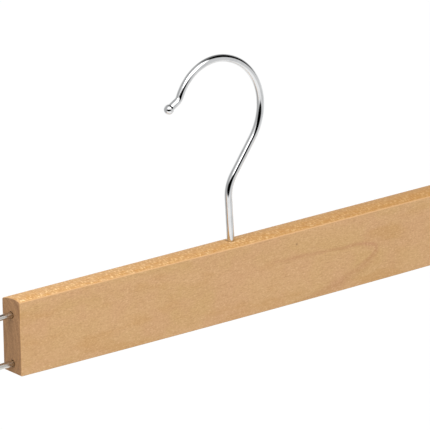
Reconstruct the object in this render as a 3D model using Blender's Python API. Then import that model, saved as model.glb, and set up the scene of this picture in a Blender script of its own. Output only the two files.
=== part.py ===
"""Trouser hanger: a wooden bar on a swivel hook, with a sprung clip on a wire rail at each end.

Metres, +Z up, +X along the bar, -Y to the front. The origin is the hang point: the inner side
of the hook's bow, straight above the stem that the bar turns on.
"""
import math

import bmesh
import bpy
from mathutils import Vector

# Wooden bar
BAR_LENGTH = 0.250
BAR_THICKNESS = 0.0137
BAR_SIDE_HEIGHT = 0.0347
BAR_CROWN = 0.0017
BAR_EDGE_RADIUS = 0.0010

# Swivel hook, bent from one wire: its stem leans back a little before the neck, and the bow
# goes over the top in a wide arc and down to the tip in a tighter one
HOOK_WIRE = 0.0036
STEM_FOOT = 0.0013
STEM_LEAN = math.radians(2.3)
STEM_LENGTH = 0.0187
NECK_RADIUS = 0.0174
SHANK_ANGLE = math.radians(35.9)
SHANK_LENGTH = 0.0190
BOW_RADIUS = 0.0264
BOW_ANGLE = math.radians(114.8)
NOSE_RADIUS = 0.0223
NOSE_ANGLE = math.radians(79.0)
TIP_BEND_RADIUS = 0.0045
TIP_BEND_ANGLE = math.radians(37.9)
TIP_LENGTH = 0.0052
TIP_BALL = 0.0048

# Peened head and washer, in the counterbore under the bar
HEAD_DIAMETER = 0.0064
HEAD_THICKNESS = 0.0014
HEAD_RECESS = 0.0010
WASHER_DIAMETER = 0.0085
WASHER_THICKNESS = 0.0008

# Wire rails, one U at each end of the bar
RAIL_WIRE = 0.0028
RAIL_SPACING = 0.0231
RAIL_HEIGHT = 0.0052
RAIL_REACH = 0.070
RAIL_CORNER_RADIUS = 0.006
RAIL_SOCKET = 0.035

# Clip, from stamped sheet steel, on the lower leg of its rail
CLIP_PLACE = 0.038
CLIP_WIDTH = 0.030
SHEET = 0.0009
FOLD_RADIUS = 0.0008
EAR_MARGIN = 0.0015
EAR_RELIEF = 0.0006
LEVER_FLARE = math.radians(14.0)
LEVER_LENGTH = 0.0155
LEVER_TIP_WIDTH = 0.022
LEVER_CORNER = 0.004
LEVER_CURL_RADIUS = 0.0020
LEVER_CURL_ANGLE = math.radians(60.0)
JAW_INSET = 0.0010
JAW_LENGTH = 0.023
JAW_CORNER = 0.0015
BELLY_HALF_GAP = 0.0046
BELLY_DEPTH = 0.0124
BEND_RADIUS = 0.004

# Stiffening beads pressed outward along the middle of each lever and each jaw
BEAD_WIDTH = 0.0080
BEAD_HEIGHT = 0.0007
BEAD_END = 0.0030
BEAD_MARGIN = 0.0008

# Hollow rivet that the clip turns on and slides with
TUBE_WALL = 0.0004
TUBE_FLANGE = 0.0034
TUBE_FLANGE_THICKNESS = 0.0005

# Torsion spring on the hollow rivet
SPRING_WIRE = 0.0012
SPRING_CURLS = 5
SPRING_CURL_GAP = 0.0005
SPRING_PLAY = 0.00045
SPRING_LEG = 0.0105

# Ribbed grip pads, pushed over the jaw tips
PAD_GRIP = 0.0013
PAD_SKIN = 0.0007
PAD_FLOOR = 0.0010
PAD_DEPTH = 0.0053
PAD_RIBS = 6
PAD_RIB_DEPTH = 0.00045
PAD_ROUND = 0.0006

CLEARANCE = 0.0003

# Facets
WIRE_RESOLUTION = 4
SPRING_RESOLUTION = 1
BORE_SIDES = 32
TUBE_SIDES = 28
CURL_POINTS = 10
BEAD_COLUMNS = 5
BEND_STEP = math.radians(7.0)

# Sizes that follow from the ones above
STEM_BORE = HOOK_WIRE / 2 + CLEARANCE
WASHER_BORE = WASHER_DIAMETER / 2 + CLEARANCE
COUNTERBORE_DEPTH = HEAD_RECESS + HEAD_THICKNESS + WASHER_THICKNESS + 2 * CLEARANCE
TUBE_INNER = RAIL_WIRE / 2 + CLEARANCE
TUBE_OUTER = TUBE_INNER + TUBE_WALL
EAR_BORE = TUBE_OUTER + CLEARANCE
EAR_RADIUS = EAR_BORE + EAR_MARGIN
COIL_RADIUS = TUBE_OUTER + SPRING_PLAY + SPRING_WIRE / 2
LEVER_OFFSET = COIL_RADIUS + SPRING_WIRE / 2 + CLEARANCE + SHEET / 2
GRIP_OFFSET = CLEARANCE / 2 + PAD_GRIP + CLEARANCE + SHEET / 2
JAW_WIDTH = CLIP_WIDTH - 2 * JAW_INSET
PAD_WIDTH = JAW_WIDTH + 2 * (CLEARANCE + PAD_SKIN)


class Pen:
    """Draws a line of straights and arcs in a plane, from a start point and a heading."""

    def __init__(self, start, heading):
        self.points = [Vector(start)]
        self.heading = heading

    def line(self, length):
        """Add a straight."""
        step = Vector((math.cos(self.heading), math.sin(self.heading))) * length
        self.points.append(self.points[-1] + step)

    def arc(self, radius, angle):
        """Add an arc, which turns left where the angle is positive."""
        side = math.copysign(1.0, angle)
        inward = Vector((-math.sin(self.heading), math.cos(self.heading))) * side
        centre = self.points[-1] + inward * radius
        count = max(2, math.ceil(abs(angle) / BEND_STEP))
        for index in range(1, count + 1):
            turned = self.heading + angle * index / count
            outward = Vector((math.sin(turned), -math.cos(turned))) * side
            self.points.append(centre + outward * radius)
        self.heading += angle


def rounded(corners, radius):
    """Replace the inner corners of an open line with arcs of one radius."""
    points = [corners[0]]
    for before, corner, after in zip(corners, corners[1:], corners[2:]):
        arriving = (corner - before).normalized()
        leaving = (after - corner).normalized()
        turn = math.atan2(arriving.cross(leaving), arriving.dot(leaving))
        tangent = radius * math.tan(abs(turn) / 2)
        pen = Pen(corner - arriving * tangent, math.atan2(arriving.y, arriving.x))
        pen.arc(radius, turn)
        points.extend(pen.points)
    points.append(corners[-1])
    return points


def new_material(name, colour, roughness, metallic):
    """Make a plain material for one kind of piece."""
    material = bpy.data.materials.new(name)
    material.use_nodes = True
    shader = material.node_tree.nodes["Principled BSDF"]
    shader.inputs["Base Color"].default_value = (*colour, 1.0)
    shader.inputs["Roughness"].default_value = roughness
    shader.inputs["Metallic"].default_value = metallic
    return material


def add_object(name, data, place, material=None, parent=None):
    """Link an object at a place given in its parent's space."""
    thing = bpy.data.objects.new(name, data)
    bpy.context.scene.collection.objects.link(thing)
    thing.location = place
    thing.parent = parent
    if material is not None:
        data.materials.append(material)
    return thing


def finish_mesh(bm, name, sharp_angle=35.0):
    """Turn a bmesh into a mesh, shaded smooth between its sharp edges."""
    bmesh.ops.recalc_face_normals(bm, faces=bm.faces)
    mesh = bpy.data.meshes.new(name)
    bm.to_mesh(mesh)
    bm.free()
    mesh.shade_smooth()
    mesh.set_sharp_from_angle(angle=math.radians(sharp_angle))
    return mesh


def extruded_mesh(name, outline, half_width):
    """Extrude a closed outline in the YZ plane to both sides along X."""
    bm = bmesh.new()
    base = bm.faces.new([bm.verts.new((-half_width, y, z)) for y, z in outline])
    grown = bmesh.ops.extrude_face_region(bm, geom=[base])
    moved = [item for item in grown["geom"] if isinstance(item, bmesh.types.BMVert)]
    bmesh.ops.translate(bm, verts=moved, vec=(2 * half_width, 0, 0))
    return finish_mesh(bm, name)


def turned_mesh(name, profile, axis, sides):
    """Turn a closed profile of (radius, height) points round the X or the Z axis."""
    bm = bmesh.new()
    rings = []
    for index in range(sides):
        angle = 2 * math.pi * index / sides
        ring = []
        for radius, height in profile:
            across = radius * math.cos(angle)
            up = radius * math.sin(angle)
            place = (height, across, up) if axis == "X" else (across, up, height)
            ring.append(bm.verts.new(place))
        rings.append(ring)
    for ring, following in zip(rings, rings[1:] + rings[:1]):
        for index in range(len(profile)):
            after = (index + 1) % len(profile)
            bm.faces.new((ring[index], ring[after], following[after], following[index]))
    return finish_mesh(bm, name)


def rod_mesh(name, radius, length, axis):
    """Make a plain rod from the origin along +X or +Z, for drilling."""
    bm = bmesh.new()
    bottom = []
    for index in range(BORE_SIDES):
        angle = 2 * math.pi * index / BORE_SIDES
        across = radius * math.cos(angle)
        up = radius * math.sin(angle)
        bottom.append(bm.verts.new((0, across, up) if axis == "X" else (across, up, 0)))
    base = bm.faces.new(bottom)
    grown = bmesh.ops.extrude_face_region(bm, geom=[base])
    moved = [item for item in grown["geom"] if isinstance(item, bmesh.types.BMVert)]
    along = (length, 0, 0) if axis == "X" else (0, 0, length)
    bmesh.ops.translate(bm, verts=moved, vec=along)
    return finish_mesh(bm, name)


def add_cutter(name, mesh, place, parent=None):
    """Link a drill or other cutter, which is drawn as wire and never rendered."""
    cutter = add_object(name, mesh, place, parent=parent)
    cutter.hide_render = True
    cutter.display_type = "WIRE"
    return cutter


def cut(target, cutter):
    """Take a cutter's shape out of a piece."""
    boolean = target.modifiers.new("cut_" + cutter.name, "BOOLEAN")
    boolean.operation = "DIFFERENCE"
    boolean.object = cutter


def wire_curve(name, points, radius, resolution, swell=None):
    """Make a round wire along points, with a relative thickness at each point if given."""
    curve = bpy.data.curves.new(name, "CURVE")
    curve.dimensions = "3D"
    curve.bevel_depth = radius
    curve.bevel_resolution = resolution
    curve.use_fill_caps = True
    spline = curve.splines.new("POLY")
    spline.points.add(len(points) - 1)
    spline.use_smooth = True
    for index, point in enumerate(points):
        spline.points[index].co = (*point, 1.0)
        if swell is not None:
            spline.points[index].radius = swell[index]
    return curve


def hook_bends():
    """Centreline of the hook from the bar's top edges to the centre of its ball, and its bow."""
    pen = Pen((0, 0), math.pi / 2)
    pen.line(BAR_CROWN + STEM_FOOT)
    pen.arc(NECK_RADIUS, STEM_LEAN)
    pen.line(STEM_LENGTH)
    pen.arc(NECK_RADIUS, -STEM_LEAN - SHANK_ANGLE)
    pen.line(SHANK_LENGTH)
    inward = Vector((-math.sin(pen.heading), math.cos(pen.heading)))
    bow_centre = pen.points[-1] + inward * BOW_RADIUS
    pen.arc(BOW_RADIUS, BOW_ANGLE)
    pen.arc(NOSE_RADIUS, NOSE_ANGLE)
    pen.arc(TIP_BEND_RADIUS, -TIP_BEND_ANGLE)
    pen.line(TIP_LENGTH)
    return pen, bow_centre


def hang_height():
    """Height of the hang point above the bar's top edges."""
    bow_centre = hook_bends()[1]
    inner = BOW_RADIUS - HOOK_WIRE / 2
    return bow_centre.y + math.sqrt(inner ** 2 - bow_centre.x ** 2)


EDGE_Z = -hang_height()
BAR_BOTTOM_Z = EDGE_Z - BAR_SIDE_HEIGHT
HEAD_Z = BAR_BOTTOM_Z + HEAD_RECESS
WASHER_Z = HEAD_Z + HEAD_THICKNESS + CLEARANCE
RAIL_LOW_Z = BAR_BOTTOM_Z + RAIL_HEIGHT
RAIL_HIGH_Z = RAIL_LOW_Z + RAIL_SPACING


def make_bar(material):
    """Wooden bar: flat sides, a crowned top, a stem bore and two rail sockets at each end."""
    half = BAR_THICKNESS / 2
    crown_radius = (half ** 2 + BAR_CROWN ** 2) / (2 * BAR_CROWN)
    crown_angle = math.asin(half / crown_radius)
    pen = Pen((half, 0), math.pi / 2 + math.pi / 2 - crown_angle)
    pen.arc(crown_radius, 2 * crown_angle)
    outline = [(-half, -BAR_SIDE_HEIGHT), (half, -BAR_SIDE_HEIGHT)]
    outline += [tuple(point) for point in pen.points]
    mesh = extruded_mesh("wooden_bar", outline, BAR_LENGTH / 2)
    bar = add_object("wooden_bar", mesh, (0, 0, EDGE_Z), material)

    edges = bar.modifiers.new("edges", "BEVEL")
    edges.width = BAR_EDGE_RADIUS
    edges.segments = 3
    edges.limit_method = "ANGLE"
    edges.angle_limit = math.radians(30)

    depth = BAR_SIDE_HEIGHT + BAR_CROWN
    drill = rod_mesh("stem_drill", STEM_BORE, 2 * depth, "Z")
    cut(bar, add_cutter("stem_drill", drill, (0, 0, BAR_BOTTOM_Z - depth / 2)))
    drill = rod_mesh("head_drill", WASHER_BORE, 2 * COUNTERBORE_DEPTH, "Z")
    cut(bar, add_cutter("head_drill", drill, (0, 0, BAR_BOTTOM_Z - COUNTERBORE_DEPTH)))
    socket = RAIL_SOCKET + CLEARANCE
    drill = rod_mesh("rail_drill", TUBE_INNER, 2 * socket, "X")
    for side, end in (("left", -BAR_LENGTH / 2), ("right", BAR_LENGTH / 2)):
        for level, height in (("low", RAIL_LOW_Z), ("high", RAIL_HIGH_Z)):
            place = (end - socket, 0, height)
            cut(bar, add_cutter(f"{side}_{level}_drill", drill, place))
    return bar


def make_hook(material):
    """Swivel hook: peened head, stem, neck, bow and out-turned ball tip, from one wire."""
    wire = HOOK_WIRE / 2
    head = HEAD_DIAMETER / 2
    shift = EDGE_Z
    points = []
    swell = []
    for share in (0.35, 0.7, 0.95):
        points.append((0, 0, HEAD_Z + HEAD_THICKNESS * (1 - math.sqrt(1 - share ** 2)) * 0.7))
        swell.append(head * share / wire)
    points.append((0, 0, HEAD_Z + HEAD_THICKNESS))
    swell.append(head / wire)
    points.append((0, 0, HEAD_Z + HEAD_THICKNESS + SHEET / 20))
    swell.append(1.0)

    pen = hook_bends()[0]
    for point in pen.points[:-1]:
        points.append((point.x, 0, point.y + shift))
        swell.append(1.0)

    ball = TIP_BALL / 2
    centre = pen.points[-1]
    along = Vector((math.cos(pen.heading), math.sin(pen.heading)))
    neck_angle = math.asin(min(1.0, wire / ball))
    count = 9
    for index in range(count):
        angle = neck_angle + (math.radians(172) - neck_angle) * index / (count - 1)
        point = centre - along * ball * math.cos(angle)
        points.append((point.x, 0, point.y + shift))
        swell.append(ball * math.sin(angle) / wire)
    curve = wire_curve("hook", points, wire, WIRE_RESOLUTION, swell)
    return add_object("hook", curve, (0, 0, 0), material)


def make_washer(material):
    """Washer between the hook's head and the roof of the counterbore."""
    inner = STEM_BORE
    outer = WASHER_DIAMETER / 2
    profile = [(inner, 0), (outer, 0), (outer, WASHER_THICKNESS), (inner, WASHER_THICKNESS)]
    mesh = turned_mesh("hook_washer", profile, "Z", BORE_SIDES)
    return add_object("hook_washer", mesh, (0, 0, WASHER_Z), material)


def make_rail(side, sign, material, bar):
    """U-shaped wire rail, both legs pushed into sockets in one end of the bar."""
    reach = RAIL_REACH - RAIL_WIRE / 2
    pen = Pen((-RAIL_SOCKET, RAIL_SPACING), 0)
    pen.line(RAIL_SOCKET + reach - RAIL_CORNER_RADIUS)
    pen.arc(RAIL_CORNER_RADIUS, -math.pi / 2)
    pen.line(RAIL_SPACING - 2 * RAIL_CORNER_RADIUS)
    pen.arc(RAIL_CORNER_RADIUS, -math.pi / 2)
    pen.line(RAIL_SOCKET + reach - RAIL_CORNER_RADIUS)
    points = [(sign * point.x, 0, point.y) for point in pen.points]
    curve = wire_curve(side + "_rail", points, RAIL_WIRE / 2, WIRE_RESOLUTION)
    place = (sign * BAR_LENGTH / 2, 0, RAIL_LOW_Z - EDGE_Z)
    return add_object(side + "_rail", curve, place, material, bar)


def lever_frame():
    """Outward normal and upward direction of the rear lever, in the YZ plane."""
    outward = Vector((math.cos(LEVER_FLARE), -math.sin(LEVER_FLARE)))
    upward = Vector((math.sin(LEVER_FLARE), math.cos(LEVER_FLARE)))
    return outward, upward


def jaw_line():
    """Middle of the rear jaw's sheet in the YZ plane, from the lever's lip to the jaw's tip."""
    outward, upward = lever_frame()
    top = outward * LEVER_OFFSET + upward * LEVER_LENGTH
    pen = Pen(top, math.pi / 2 - LEVER_FLARE)
    pen.arc(LEVER_CURL_RADIUS, -LEVER_CURL_ANGLE)
    lip = pen.points[::-1]

    bend_room = EAR_RADIUS + EAR_RELIEF + 0.45 * BEND_RADIUS
    waist = outward * LEVER_OFFSET - upward * bend_room
    belly = Vector((BELLY_HALF_GAP, -BELLY_DEPTH))
    grip_top = Vector((GRIP_OFFSET, -JAW_LENGTH + PAD_DEPTH + 0.45 * BEND_RADIUS))
    tip = Vector((GRIP_OFFSET, -JAW_LENGTH))
    return lip[:-1] + rounded([top, waist, belly, grip_top, tip], BEND_RADIUS)


def line_stations(line):
    """Distance of each point of a line from its start."""
    stations = [0.0]
    for before, after in zip(line, line[1:]):
        stations.append(stations[-1] + (after - before).length)
    return stations


def point_at(line, stations, distance):
    """Point of a line at a distance from its start."""
    for index in range(len(line) - 1):
        if distance <= stations[index + 1]:
            share = (distance - stations[index]) / (stations[index + 1] - stations[index])
            return line[index].lerp(line[index + 1], share)
    return line[-1]


def corner_loss(distance, radius):
    """How much a round corner takes off the half width, at a distance from the end."""
    if distance >= radius:
        return 0.0
    return radius - math.sqrt(radius ** 2 - (radius - distance) ** 2)


def bead_rise(distance, beads):
    """How far a bead stands out of the sheet, at a distance along it."""
    for start, end in beads:
        if start < distance < end:
            share = min(1.0, (distance - start) / BEAD_END, (end - distance) / BEAD_END)
            return BEAD_HEIGHT * math.sin(math.pi / 2 * share)
    return 0.0


def jaw_rows(ear_half):
    """Rows of the jaw's sheet as (middle, bead crest, half width), and the two ear rows."""
    line = jaw_line()
    stations = line_stations(line)
    total = stations[-1]
    curl = LEVER_CURL_RADIUS * LEVER_CURL_ANGLE
    foot = curl + LEVER_LENGTH
    ear_top = foot - EAR_RADIUS
    ear_bottom = foot + EAR_RADIUS
    shoulder = ear_top - EAR_RELIEF
    hip = ear_bottom + EAR_RELIEF
    pad_top = total - PAD_DEPTH
    beads = [(curl + BEAD_MARGIN, shoulder - BEAD_MARGIN), (hip, pad_top - BEAD_MARGIN)]

    marks = {ear_top, ear_bottom, shoulder, hip}
    for start, end in beads:
        for share in (0.0, 0.3, 0.65, 1.0):
            marks.add(start + BEAD_END * share)
            marks.add(end - BEAD_END * share)
    for share in (0.0, 0.12, 0.3, 0.6, 1.0):
        marks.add(LEVER_CORNER * share)
        marks.add(total - JAW_CORNER * share)
    for station in stations:
        beside = any(abs(station - mark) < SHEET / 4 for mark in marks)
        if not beside and not ear_top < station < ear_bottom:
            marks.add(station)

    rows = []
    ear_rows = []
    for mark in sorted(marks):
        if mark in (ear_top, ear_bottom):
            half = ear_half
            ear_rows.append(len(rows))
        elif mark <= shoulder:
            share = mark / shoulder
            half = (LEVER_TIP_WIDTH + (CLIP_WIDTH - LEVER_TIP_WIDTH) * share) / 2
            half -= corner_loss(mark, LEVER_CORNER)
        else:
            half = JAW_WIDTH / 2 - corner_loss(total - mark, JAW_CORNER)
        middle = point_at(line, stations, mark)
        along = point_at(line, stations, mark + SHEET / 2) - point_at(line, stations, mark - SHEET / 2)
        outward = Vector((-along.y, along.x)).normalized()
        rows.append((middle, middle + outward * bead_rise(mark, beads), half))
    return rows, ear_rows


def jaw_mesh(name, facing, width):
    """Sheet of one jaw, facing +1 for the rear one, with an ear folded in at each side."""
    ear_half = width / 2 - SHEET / 2 - FOLD_RADIUS
    rows, ear_rows = jaw_rows(ear_half)
    outward, upward = lever_frame()
    bm = bmesh.new()

    def add_vertex(across, point):
        return bm.verts.new((across, facing * point.x, point.y))

    grid = []
    for middle, crest, half in rows:
        row = [add_vertex(-half, middle)]
        for index in range(BEAD_COLUMNS):
            share = 2 * index / (BEAD_COLUMNS - 1) - 1
            swell = math.cos(math.pi / 2 * share)
            row.append(add_vertex(share * BEAD_WIDTH / 2, middle.lerp(crest, swell)))
        row.append(add_vertex(half, middle))
        grid.append(row)
    for row, following in zip(grid, grid[1:]):
        for index in range(len(row) - 1):
            bm.faces.new((row[index], row[index + 1], following[index + 1], following[index]))

    fold_steps = 4
    for column, hand in ((0, -1), (-1, 1)):
        edge = [grid[index][column] for index in ear_rows]
        starts = [rows[index][0] for index in ear_rows]
        for step in range(1, fold_steps + 1):
            angle = math.pi / 2 * step / fold_steps
            across = hand * (ear_half + FOLD_RADIUS * math.sin(angle))
            inward = outward * FOLD_RADIUS * (1 - math.cos(angle))
            following = [add_vertex(across, start - inward) for start in starts]
            bm.faces.new((edge[0], edge[1], following[1], following[0]))
            edge = following
        plane = hand * (ear_half + FOLD_RADIUS)
        outline = [edge[0], edge[1]]
        round_steps = 16
        for step in range(round_steps + 1):
            angle = math.pi * step / round_steps
            spoke = upward * math.cos(angle) + outward * math.sin(angle)
            outline.append(add_vertex(plane, -EAR_RADIUS * spoke))
        bm.faces.new(outline)
    return finish_mesh(bm, name)


def make_jaw(name, facing, width, material, pivot):
    """Stamped jaw and lever in one, with the bores of its two ears on the pivot."""
    jaw = add_object(name, jaw_mesh(name, facing, width), (0, 0, 0), material, pivot)
    solid = jaw.modifiers.new("sheet", "SOLIDIFY")
    solid.thickness = SHEET
    solid.offset = 0.0
    solid.use_even_offset = True
    drill = rod_mesh(name + "_drill", EAR_BORE, 2 * CLIP_WIDTH, "X")
    cut(jaw, add_cutter(name + "_drill", drill, (-CLIP_WIDTH, 0, 0), pivot))
    return jaw


def pad_outline(facing):
    """Section of a grip pad: ribs towards the other jaw, rounded outside and below."""
    crest = CLEARANCE / 2
    groove = crest + PAD_RIB_DEPTH
    back = GRIP_OFFSET + SHEET / 2 + CLEARANCE + PAD_SKIN
    top = -JAW_LENGTH + PAD_DEPTH
    bottom = -JAW_LENGTH - CLEARANCE - PAD_FLOOR
    pitch = (top - bottom) / PAD_RIBS
    outline = []
    for index in range(PAD_RIBS):
        start = top - pitch * index
        outline.append((crest, start - pitch * 0.12))
        outline.append((crest, start - pitch * 0.52))
        if index < PAD_RIBS - 1:
            outline.append((groove, start - pitch * 0.68))
            outline.append((groove, start - pitch * 0.96))
    corners = [(groove, bottom), (back, bottom), (back, top), (groove, top)]
    outline += [tuple(point) for point in rounded([Vector(c) for c in corners], PAD_ROUND)]
    return [(facing * across, height) for across, height in outline]


def make_pad(name, facing, material, jaw):
    """Grip pad: a moulded sleeve with a pocket for the jaw's tip."""
    mesh = extruded_mesh(name, pad_outline(facing), PAD_WIDTH / 2)
    pad = add_object(name, mesh, (0, 0, 0), material, jaw)
    half = SHEET / 2 + CLEARANCE
    floor = -JAW_LENGTH - CLEARANCE
    roof = -JAW_LENGTH + 2 * PAD_DEPTH
    near = facing * (GRIP_OFFSET - half)
    far = facing * (GRIP_OFFSET + half)
    pocket = [(near, floor), (far, floor), (far, roof), (near, roof)]
    pocket_mesh = extruded_mesh(name + "_pocket", pocket, JAW_WIDTH / 2 + CLEARANCE)
    cut(pad, add_cutter(name + "_pocket", pocket_mesh, (0, 0, 0), jaw))
    return pad


def make_tube(name, material, pivot):
    """Hollow rivet: a thin tube on the rail, with a flange outside each rear ear."""
    inside = CLIP_WIDTH / 2 + CLEARANCE
    outside = inside + TUBE_FLANGE_THICKNESS
    profile = [
        (TUBE_INNER, -outside),
        (TUBE_FLANGE, -outside),
        (TUBE_FLANGE, -inside),
        (TUBE_OUTER, -inside),
        (TUBE_OUTER, inside),
        (TUBE_FLANGE, inside),
        (TUBE_FLANGE, outside),
        (TUBE_INNER, outside),
    ]
    mesh = turned_mesh(name, profile, "X", TUBE_SIDES)
    return add_object(name, mesh, (0, 0, 0), material, pivot)


def spring_points():
    """Centreline of the spring: down the front lever, round the rivet, up the rear lever."""
    start = math.pi + LEVER_FLARE
    end = 2 * math.pi * SPRING_CURLS - LEVER_FLARE
    pitch = SPRING_WIRE + SPRING_CURL_GAP
    width = pitch * (end - start) / (2 * math.pi)
    count = round((end - start) / (2 * math.pi) * CURL_POINTS)
    outward, upward = lever_frame()
    rear_foot = outward * COIL_RADIUS
    rear_tip = rear_foot + upward * SPRING_LEG
    points = [(-width / 2, -rear_tip.x, rear_tip.y)]
    for index in range(count + 1):
        angle = start + (end - start) * index / count
        across = -width / 2 + width * index / count
        points.append((across, COIL_RADIUS * math.cos(angle), COIL_RADIUS * math.sin(angle)))
    points.append((width / 2, rear_tip.x, rear_tip.y))
    return points


def least_gap(points, diameter, apart):
    """Least gap of a wound wire to itself, between points at least so many places apart."""
    places = [Vector(point) for point in points]
    least = math.inf
    for index, place in enumerate(places):
        for other in places[index + apart:]:
            least = min(least, (place - other).length)
    return least - diameter


def make_spring(name, material, pivot):
    """Torsion spring whose two legs hold the levers apart and the jaws shut."""
    points = spring_points()
    gap = least_gap(points, SPRING_WIRE, CURL_POINTS // 2)
    print(f"{name}: least gap to itself {gap * 1000:.2f} mm")
    curve = wire_curve(name, points, SPRING_WIRE / 2, SPRING_RESOLUTION)
    return add_object(name, curve, (0, 0, 0), material, pivot)


def make_clip(side, sign, steel, spring_steel, grip, bar):
    """Whole clip on the lower leg of one rail, with its origin on the rail's axis."""
    pivot = bpy.data.objects.new(side + "_clip_pivot", None)
    bpy.context.scene.collection.objects.link(pivot)
    pivot.location = (sign * (BAR_LENGTH / 2 + CLIP_PLACE), 0, RAIL_LOW_Z - EDGE_Z)
    pivot.parent = bar
    make_tube(side + "_pivot_tube", steel, pivot)
    rear = make_jaw(side + "_back_jaw", 1, CLIP_WIDTH, steel, pivot)
    front_width = CLIP_WIDTH - 2 * (SHEET + CLEARANCE)
    front = make_jaw(side + "_front_jaw", -1, front_width, steel, pivot)
    make_pad(side + "_back_pad", 1, grip, rear)
    make_pad(side + "_front_pad", -1, grip, front)
    make_spring(side + "_spring", spring_steel, pivot)


def build():
    """Clear the scene and build the hanger."""
    for thing in list(bpy.data.objects):
        bpy.data.objects.remove(thing)
    beech = new_material("lacquered_beech", (0.60, 0.36, 0.17), 0.38, 0.0)
    chrome = new_material("chromed_wire", (0.80, 0.81, 0.83), 0.06, 1.0)
    zinc = new_material("zinc_washer", (0.55, 0.56, 0.58), 0.35, 1.0)
    rail_steel = new_material("nickelled_rail", (0.72, 0.72, 0.71), 0.16, 1.0)
    clip_steel = new_material("nickelled_sheet", (0.74, 0.74, 0.74), 0.14, 1.0)
    spring_steel = new_material("spring_wire", (0.58, 0.58, 0.57), 0.24, 1.0)
    grip = new_material("soft_grip", (0.03, 0.03, 0.032), 0.55, 0.0)

    make_hook(chrome)
    make_washer(zinc)
    bar = make_bar(beech)
    for side, sign in (("left", -1), ("right", 1)):
        make_rail(side, sign, rail_steel, bar)
        make_clip(side, sign, clip_steel, spring_steel, grip, bar)
    bpy.context.view_layer.update()


build()
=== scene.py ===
"""Looks of the trouser hanger: a beech bar on a chromed swivel hook, with two sprung clips.

Metres, +Z up, +X along the bar, -Y to the front, and degrees for the angles in the classes'
fields. The origin is the hang point, which is the inner side of the hook's bow straight above
its stem.
"""
import logging
import math
from dataclasses import dataclass, replace
from enum import Enum

import bmesh
import bpy
from bmesh.types import BMesh, BMVert
from bpy.types import ID, Material, Mesh, Node, NodeOutputs, NodeSocket, NodeTree, Object
from mathutils import Matrix, Quaternion, Vector

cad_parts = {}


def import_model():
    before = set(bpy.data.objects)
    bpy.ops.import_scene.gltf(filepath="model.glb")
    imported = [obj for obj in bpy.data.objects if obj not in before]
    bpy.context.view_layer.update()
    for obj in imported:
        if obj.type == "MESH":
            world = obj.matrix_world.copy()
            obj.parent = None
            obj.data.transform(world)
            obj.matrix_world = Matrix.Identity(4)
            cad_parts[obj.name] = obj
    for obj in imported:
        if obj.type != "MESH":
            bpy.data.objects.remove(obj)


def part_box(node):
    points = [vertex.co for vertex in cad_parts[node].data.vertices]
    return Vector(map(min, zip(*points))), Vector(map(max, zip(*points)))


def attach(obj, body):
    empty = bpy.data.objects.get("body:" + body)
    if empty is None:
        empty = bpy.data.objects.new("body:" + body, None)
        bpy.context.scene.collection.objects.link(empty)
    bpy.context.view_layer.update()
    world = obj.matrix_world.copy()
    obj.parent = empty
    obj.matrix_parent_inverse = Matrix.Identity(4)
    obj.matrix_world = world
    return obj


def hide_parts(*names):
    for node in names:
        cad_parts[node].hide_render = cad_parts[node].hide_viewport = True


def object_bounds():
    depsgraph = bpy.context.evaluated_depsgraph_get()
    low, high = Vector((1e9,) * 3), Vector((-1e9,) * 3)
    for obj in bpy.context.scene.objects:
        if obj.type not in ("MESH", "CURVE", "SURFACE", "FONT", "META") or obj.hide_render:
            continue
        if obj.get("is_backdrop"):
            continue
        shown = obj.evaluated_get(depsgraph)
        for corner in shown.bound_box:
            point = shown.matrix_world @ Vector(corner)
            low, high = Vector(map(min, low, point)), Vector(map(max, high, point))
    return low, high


MM = 0.001
# An edge that turns by more than this is shaded as sharp.
SHARP = math.radians(35)
# Points that lie closer than this are welded.
WELD = 0.001 * MM
# Lengths that differ by less than this are the same.
SAME = 1e-9
TURNED_SIDES = 48
WHITE = "FFFFFF"
log = logging.getLogger("trouser_hanger")


class Side(Enum):
    """End of the bar, with the sign of its X."""

    LEFT = -1
    RIGHT = 1

    @property
    def word(self) -> str:
        """Name of the side as it stands in the names of nodes and bodies."""
        return self.name.lower()


class Facing(Enum):
    """Half of a clip, with the sign of its Y."""

    BACK = 1
    FRONT = -1

    @property
    def word(self) -> str:
        """Name of the half as it stands in the names of nodes and bodies."""
        return self.name.lower()


class Slot(Enum):
    """Material slot of the record that a piece takes its finish from."""

    WOOD = "bar_wood"
    HOOK = "hook_chrome"
    WASHER = "washer_steel"
    RAIL = "rail_steel"
    CLIP = "clip_steel"
    SPRING = "spring_steel"
    PAD = "grip_pad"


class Pen:
    """Draws a line of straights and arcs in a plane, from a start point and a heading."""

    def __init__(self, start: tuple[float, float], heading: float, step: float = 4.0) -> None:
        """Set the pen down.

        Args:
            start: First point.
            heading: Direction in radians.
            step: Largest turn between two points of an arc, in degrees.
        """
        self.points = [Vector(start)]
        self.heading = heading
        self.step = math.radians(step)

    def line(self, length: float) -> None:
        """Add a straight of this length."""
        direction = Vector((math.cos(self.heading), math.sin(self.heading)))
        self.points.append(self.points[-1] + direction * length)

    def arc(self, radius: float, angle: float) -> None:
        """Add an arc.

        Args:
            radius: Radius of the arc.
            angle: Turn in radians, to the left where it is positive.
        """
        side = math.copysign(1.0, angle)
        inward = Vector((-math.sin(self.heading), math.cos(self.heading))) * side
        centre = self.points[-1] + inward * radius
        count = max(2, math.ceil(abs(angle) / self.step))
        for index in range(1, count + 1):
            turned = self.heading + angle * index / count
            outward = Vector((math.sin(turned), -math.cos(turned))) * side
            self.points.append(centre + outward * radius)
        self.heading += angle


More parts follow.
